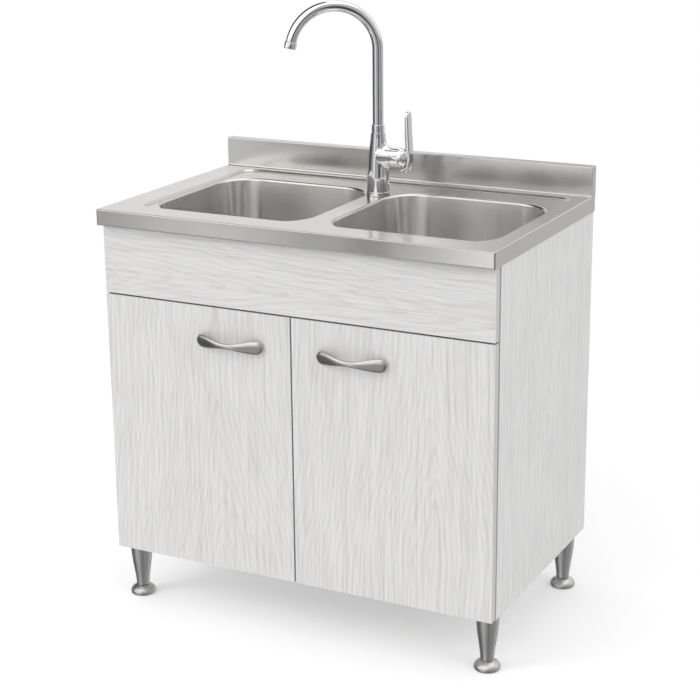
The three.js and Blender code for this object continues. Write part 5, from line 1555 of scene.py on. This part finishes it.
def make_outlet():
    """The open pipe that goes to the wall."""
    low, _, middle, half = span_mm("wall_outlet")
    bore, length = PIPE_RADIUS - PIPE_WALL, 2 * half.y
    line = [(0, 0), (PIPE_RADIUS, 0), (PIPE_RADIUS, length), (bore, length), (bore, PIPE_WALL),
            (0, PIPE_WALL)]
    return turned("wall_outlet_moulded", line, (middle.x, low.y, middle.z), 0.5, ALONG_Y, 64)


dress(make_tee(), white_plastic, "waste_tee")
dress(make_trap(), white_plastic, "bottle_trap")
dress(make_outlet(), white_plastic, "wall_outlet")
left_over = [name for name, node in frame["nodes"].items() if not node.hide_render]
print("solids that still show:", left_over)

# %% [markdown]
# ## Floor and light
# The unit stands on a round white floor, and white light comes from all sides, so the picture
# has no horizon. A soft key light from the front left models the fronts. Metal only looks like
# metal when it has something to reflect, so reflected rays see a studio instead: pale above,
# greyer below the horizon, with upright panels of light and dark between them.

# %% Floor
FLOOR_RADIUS = 1.5   # metres
FLOOR_GLOW = 0.15


def make_floor():
    """A round plain floor. It glows a little, to stay white in soft light."""
    mesh = bpy.data.meshes.new("studio_floor")
    mesh.from_pydata(circle((0, 0), FLOOR_RADIUS, 0, around(96)), [], [range(96)])
    paint, shader, _ = new_finish("floor_paint", 0.0, 0.6)
    shader["Base Color"].default_value = (0.93, 0.93, 0.93, 1)
    shader["Specular IOR Level"].default_value = 0.0
    shader["Emission Color"].default_value = (1, 1, 1, 1)
    shader["Emission Strength"].default_value = FLOOR_GLOW
    mesh.materials.append(paint)
    floor = show("studio_floor", mesh)
    floor.visible_glossy = False


make_floor()
print("floor, m:", 2 * FLOOR_RADIUS)

# %% What reflected rays see
# Panels as (azimuth, half width, soft edge, brightness), in degrees from the right of the unit.
LOW_FIELD = 0.45
LOW_PANELS = (
    (-172, 20, 12, 0.1), (-130, 6, 4, 0.42), (-121, 2, 2, 1.1), (-116.5, 2, 1.5, 0.15),
    (-110, 3.5, 1.5, 1.4), (-86, 16, 6, 0.45), (-52, 11, 3, 0.08), (-33, 5, 4, 0.6),
    (-16, 7, 4, 0.28), (8, 12, 6, 0.38), (60, 26, 8, 0.66),
)
HIGH_FIELD = 1.0
HIGH_PANELS = (
    (-172, 22, 12, 0.35), (-117, 35, 15, 1.5), (-119.5, 1.5, 2, 2.0), (-116, 1, 2, 0.8),
    (-111.5, 1.8, 1.5, 0.5), (-30, 30, 12, 0.55), (107, 4, 4, 0.62),
)
DARK_CEILING = (166, 34, 5, 0.09)
DARK_FROM = math.sin(math.radians(7))
CEILING = 1.7
CEILING_FROM = math.sin(math.radians(50))
NADIR = 0.22
NADIR_FROM = math.sin(math.radians(-52))
HORIZON = (0.0, 0.14)
EVEN_LIGHT = 0.92


def panel_mask(turn, centre, half, soft):
    """One inside a span of azimuth, fading to nothing over its soft edge."""
    away = calc("ABSOLUTE", calc("WRAP", turn - centre, 180.0, -180.0))
    return ramp(away, half + soft, half)


def towards(value, mask, target):
    """A value moved towards a target by a mask."""
    return mask * (target - value) + value


def make_reflected_studio(tree):
    """The brightness of the studio in each direction."""
    across, deep, rise = split(add_node(tree, "ShaderNodeTexCoord", "Generated"))
    turn = calc("DEGREES", calc("ARCTAN2", deep, across))
    low, high = LOW_FIELD, HIGH_FIELD
    for *panel, target in LOW_PANELS:
        low = towards(low, panel_mask(turn, *panel), target)
    for *panel, target in HIGH_PANELS:
        high = towards(high, panel_mask(turn, *panel), target)
    high = towards(high, ramp(rise, CEILING_FROM - 0.1, CEILING_FROM + 0.1), CEILING)
    *panel, target = DARK_CEILING
    dark = panel_mask(turn, *panel) * ramp(rise, DARK_FROM - 0.04, DARK_FROM + 0.04)
    high = towards(high, dark, target)
    low = towards(low, ramp(rise, NADIR_FROM + 0.12, NADIR_FROM - 0.12), NADIR)
    return towards(low, ramp(rise, *HORIZON), high)


# %% The light from all sides
def make_sky():
    """White for the camera, even for matt surfaces, and the studio for reflections."""
    world = bpy.data.worlds.new("studio_dome")
    bpy.context.scene.world = world
    world.use_nodes = True
    tree = world.node_tree
    rays = tree.nodes.new("ShaderNodeLightPath").outputs
    value = towards(EVEN_LIGHT, Flow(rays["Is Glossy Ray"]), make_reflected_studio(tree))
    value = towards(value, Flow(rays["Is Camera Ray"]), 1.0)
    background = tree.nodes["Background"].inputs
    feed(value, background["Strength"])
    background["Color"].default_value = (1, 1, 1, 1)
    world.cycles.sampling_method = "NONE"


make_sky()
print("world:", bpy.context.scene.world.name)

# %% The soft lights
def soft_light(name, place, aim, size, watts):
    """A large square light that looks at a point. Reflections see the panels instead of it."""
    data = bpy.data.lights.new(name, "AREA")
    data.shape = "RECTANGLE"
    data.size, data.size_y = size
    data.energy = watts
    light = show(name, data)
    direction = Vector(aim) - Vector(place)
    light.matrix_world = (Matrix.Translation(place) @
                          direction.to_track_quat("-Z", "Y").to_matrix().to_4x4())
    light.visible_glossy = False


soft_light("key_light", (-2.6, -3.0, 2.9), (0, 0, 0.5), (1.8, 1.8), 42)
soft_light("side_light", (3.2, -1.0, 2.2), (0, 0, 0.6), (1.2, 2.0), 14)
bpy.context.scene.view_settings.view_transform = "Standard"
print("lights:", [light.name for light in bpy.data.lights])
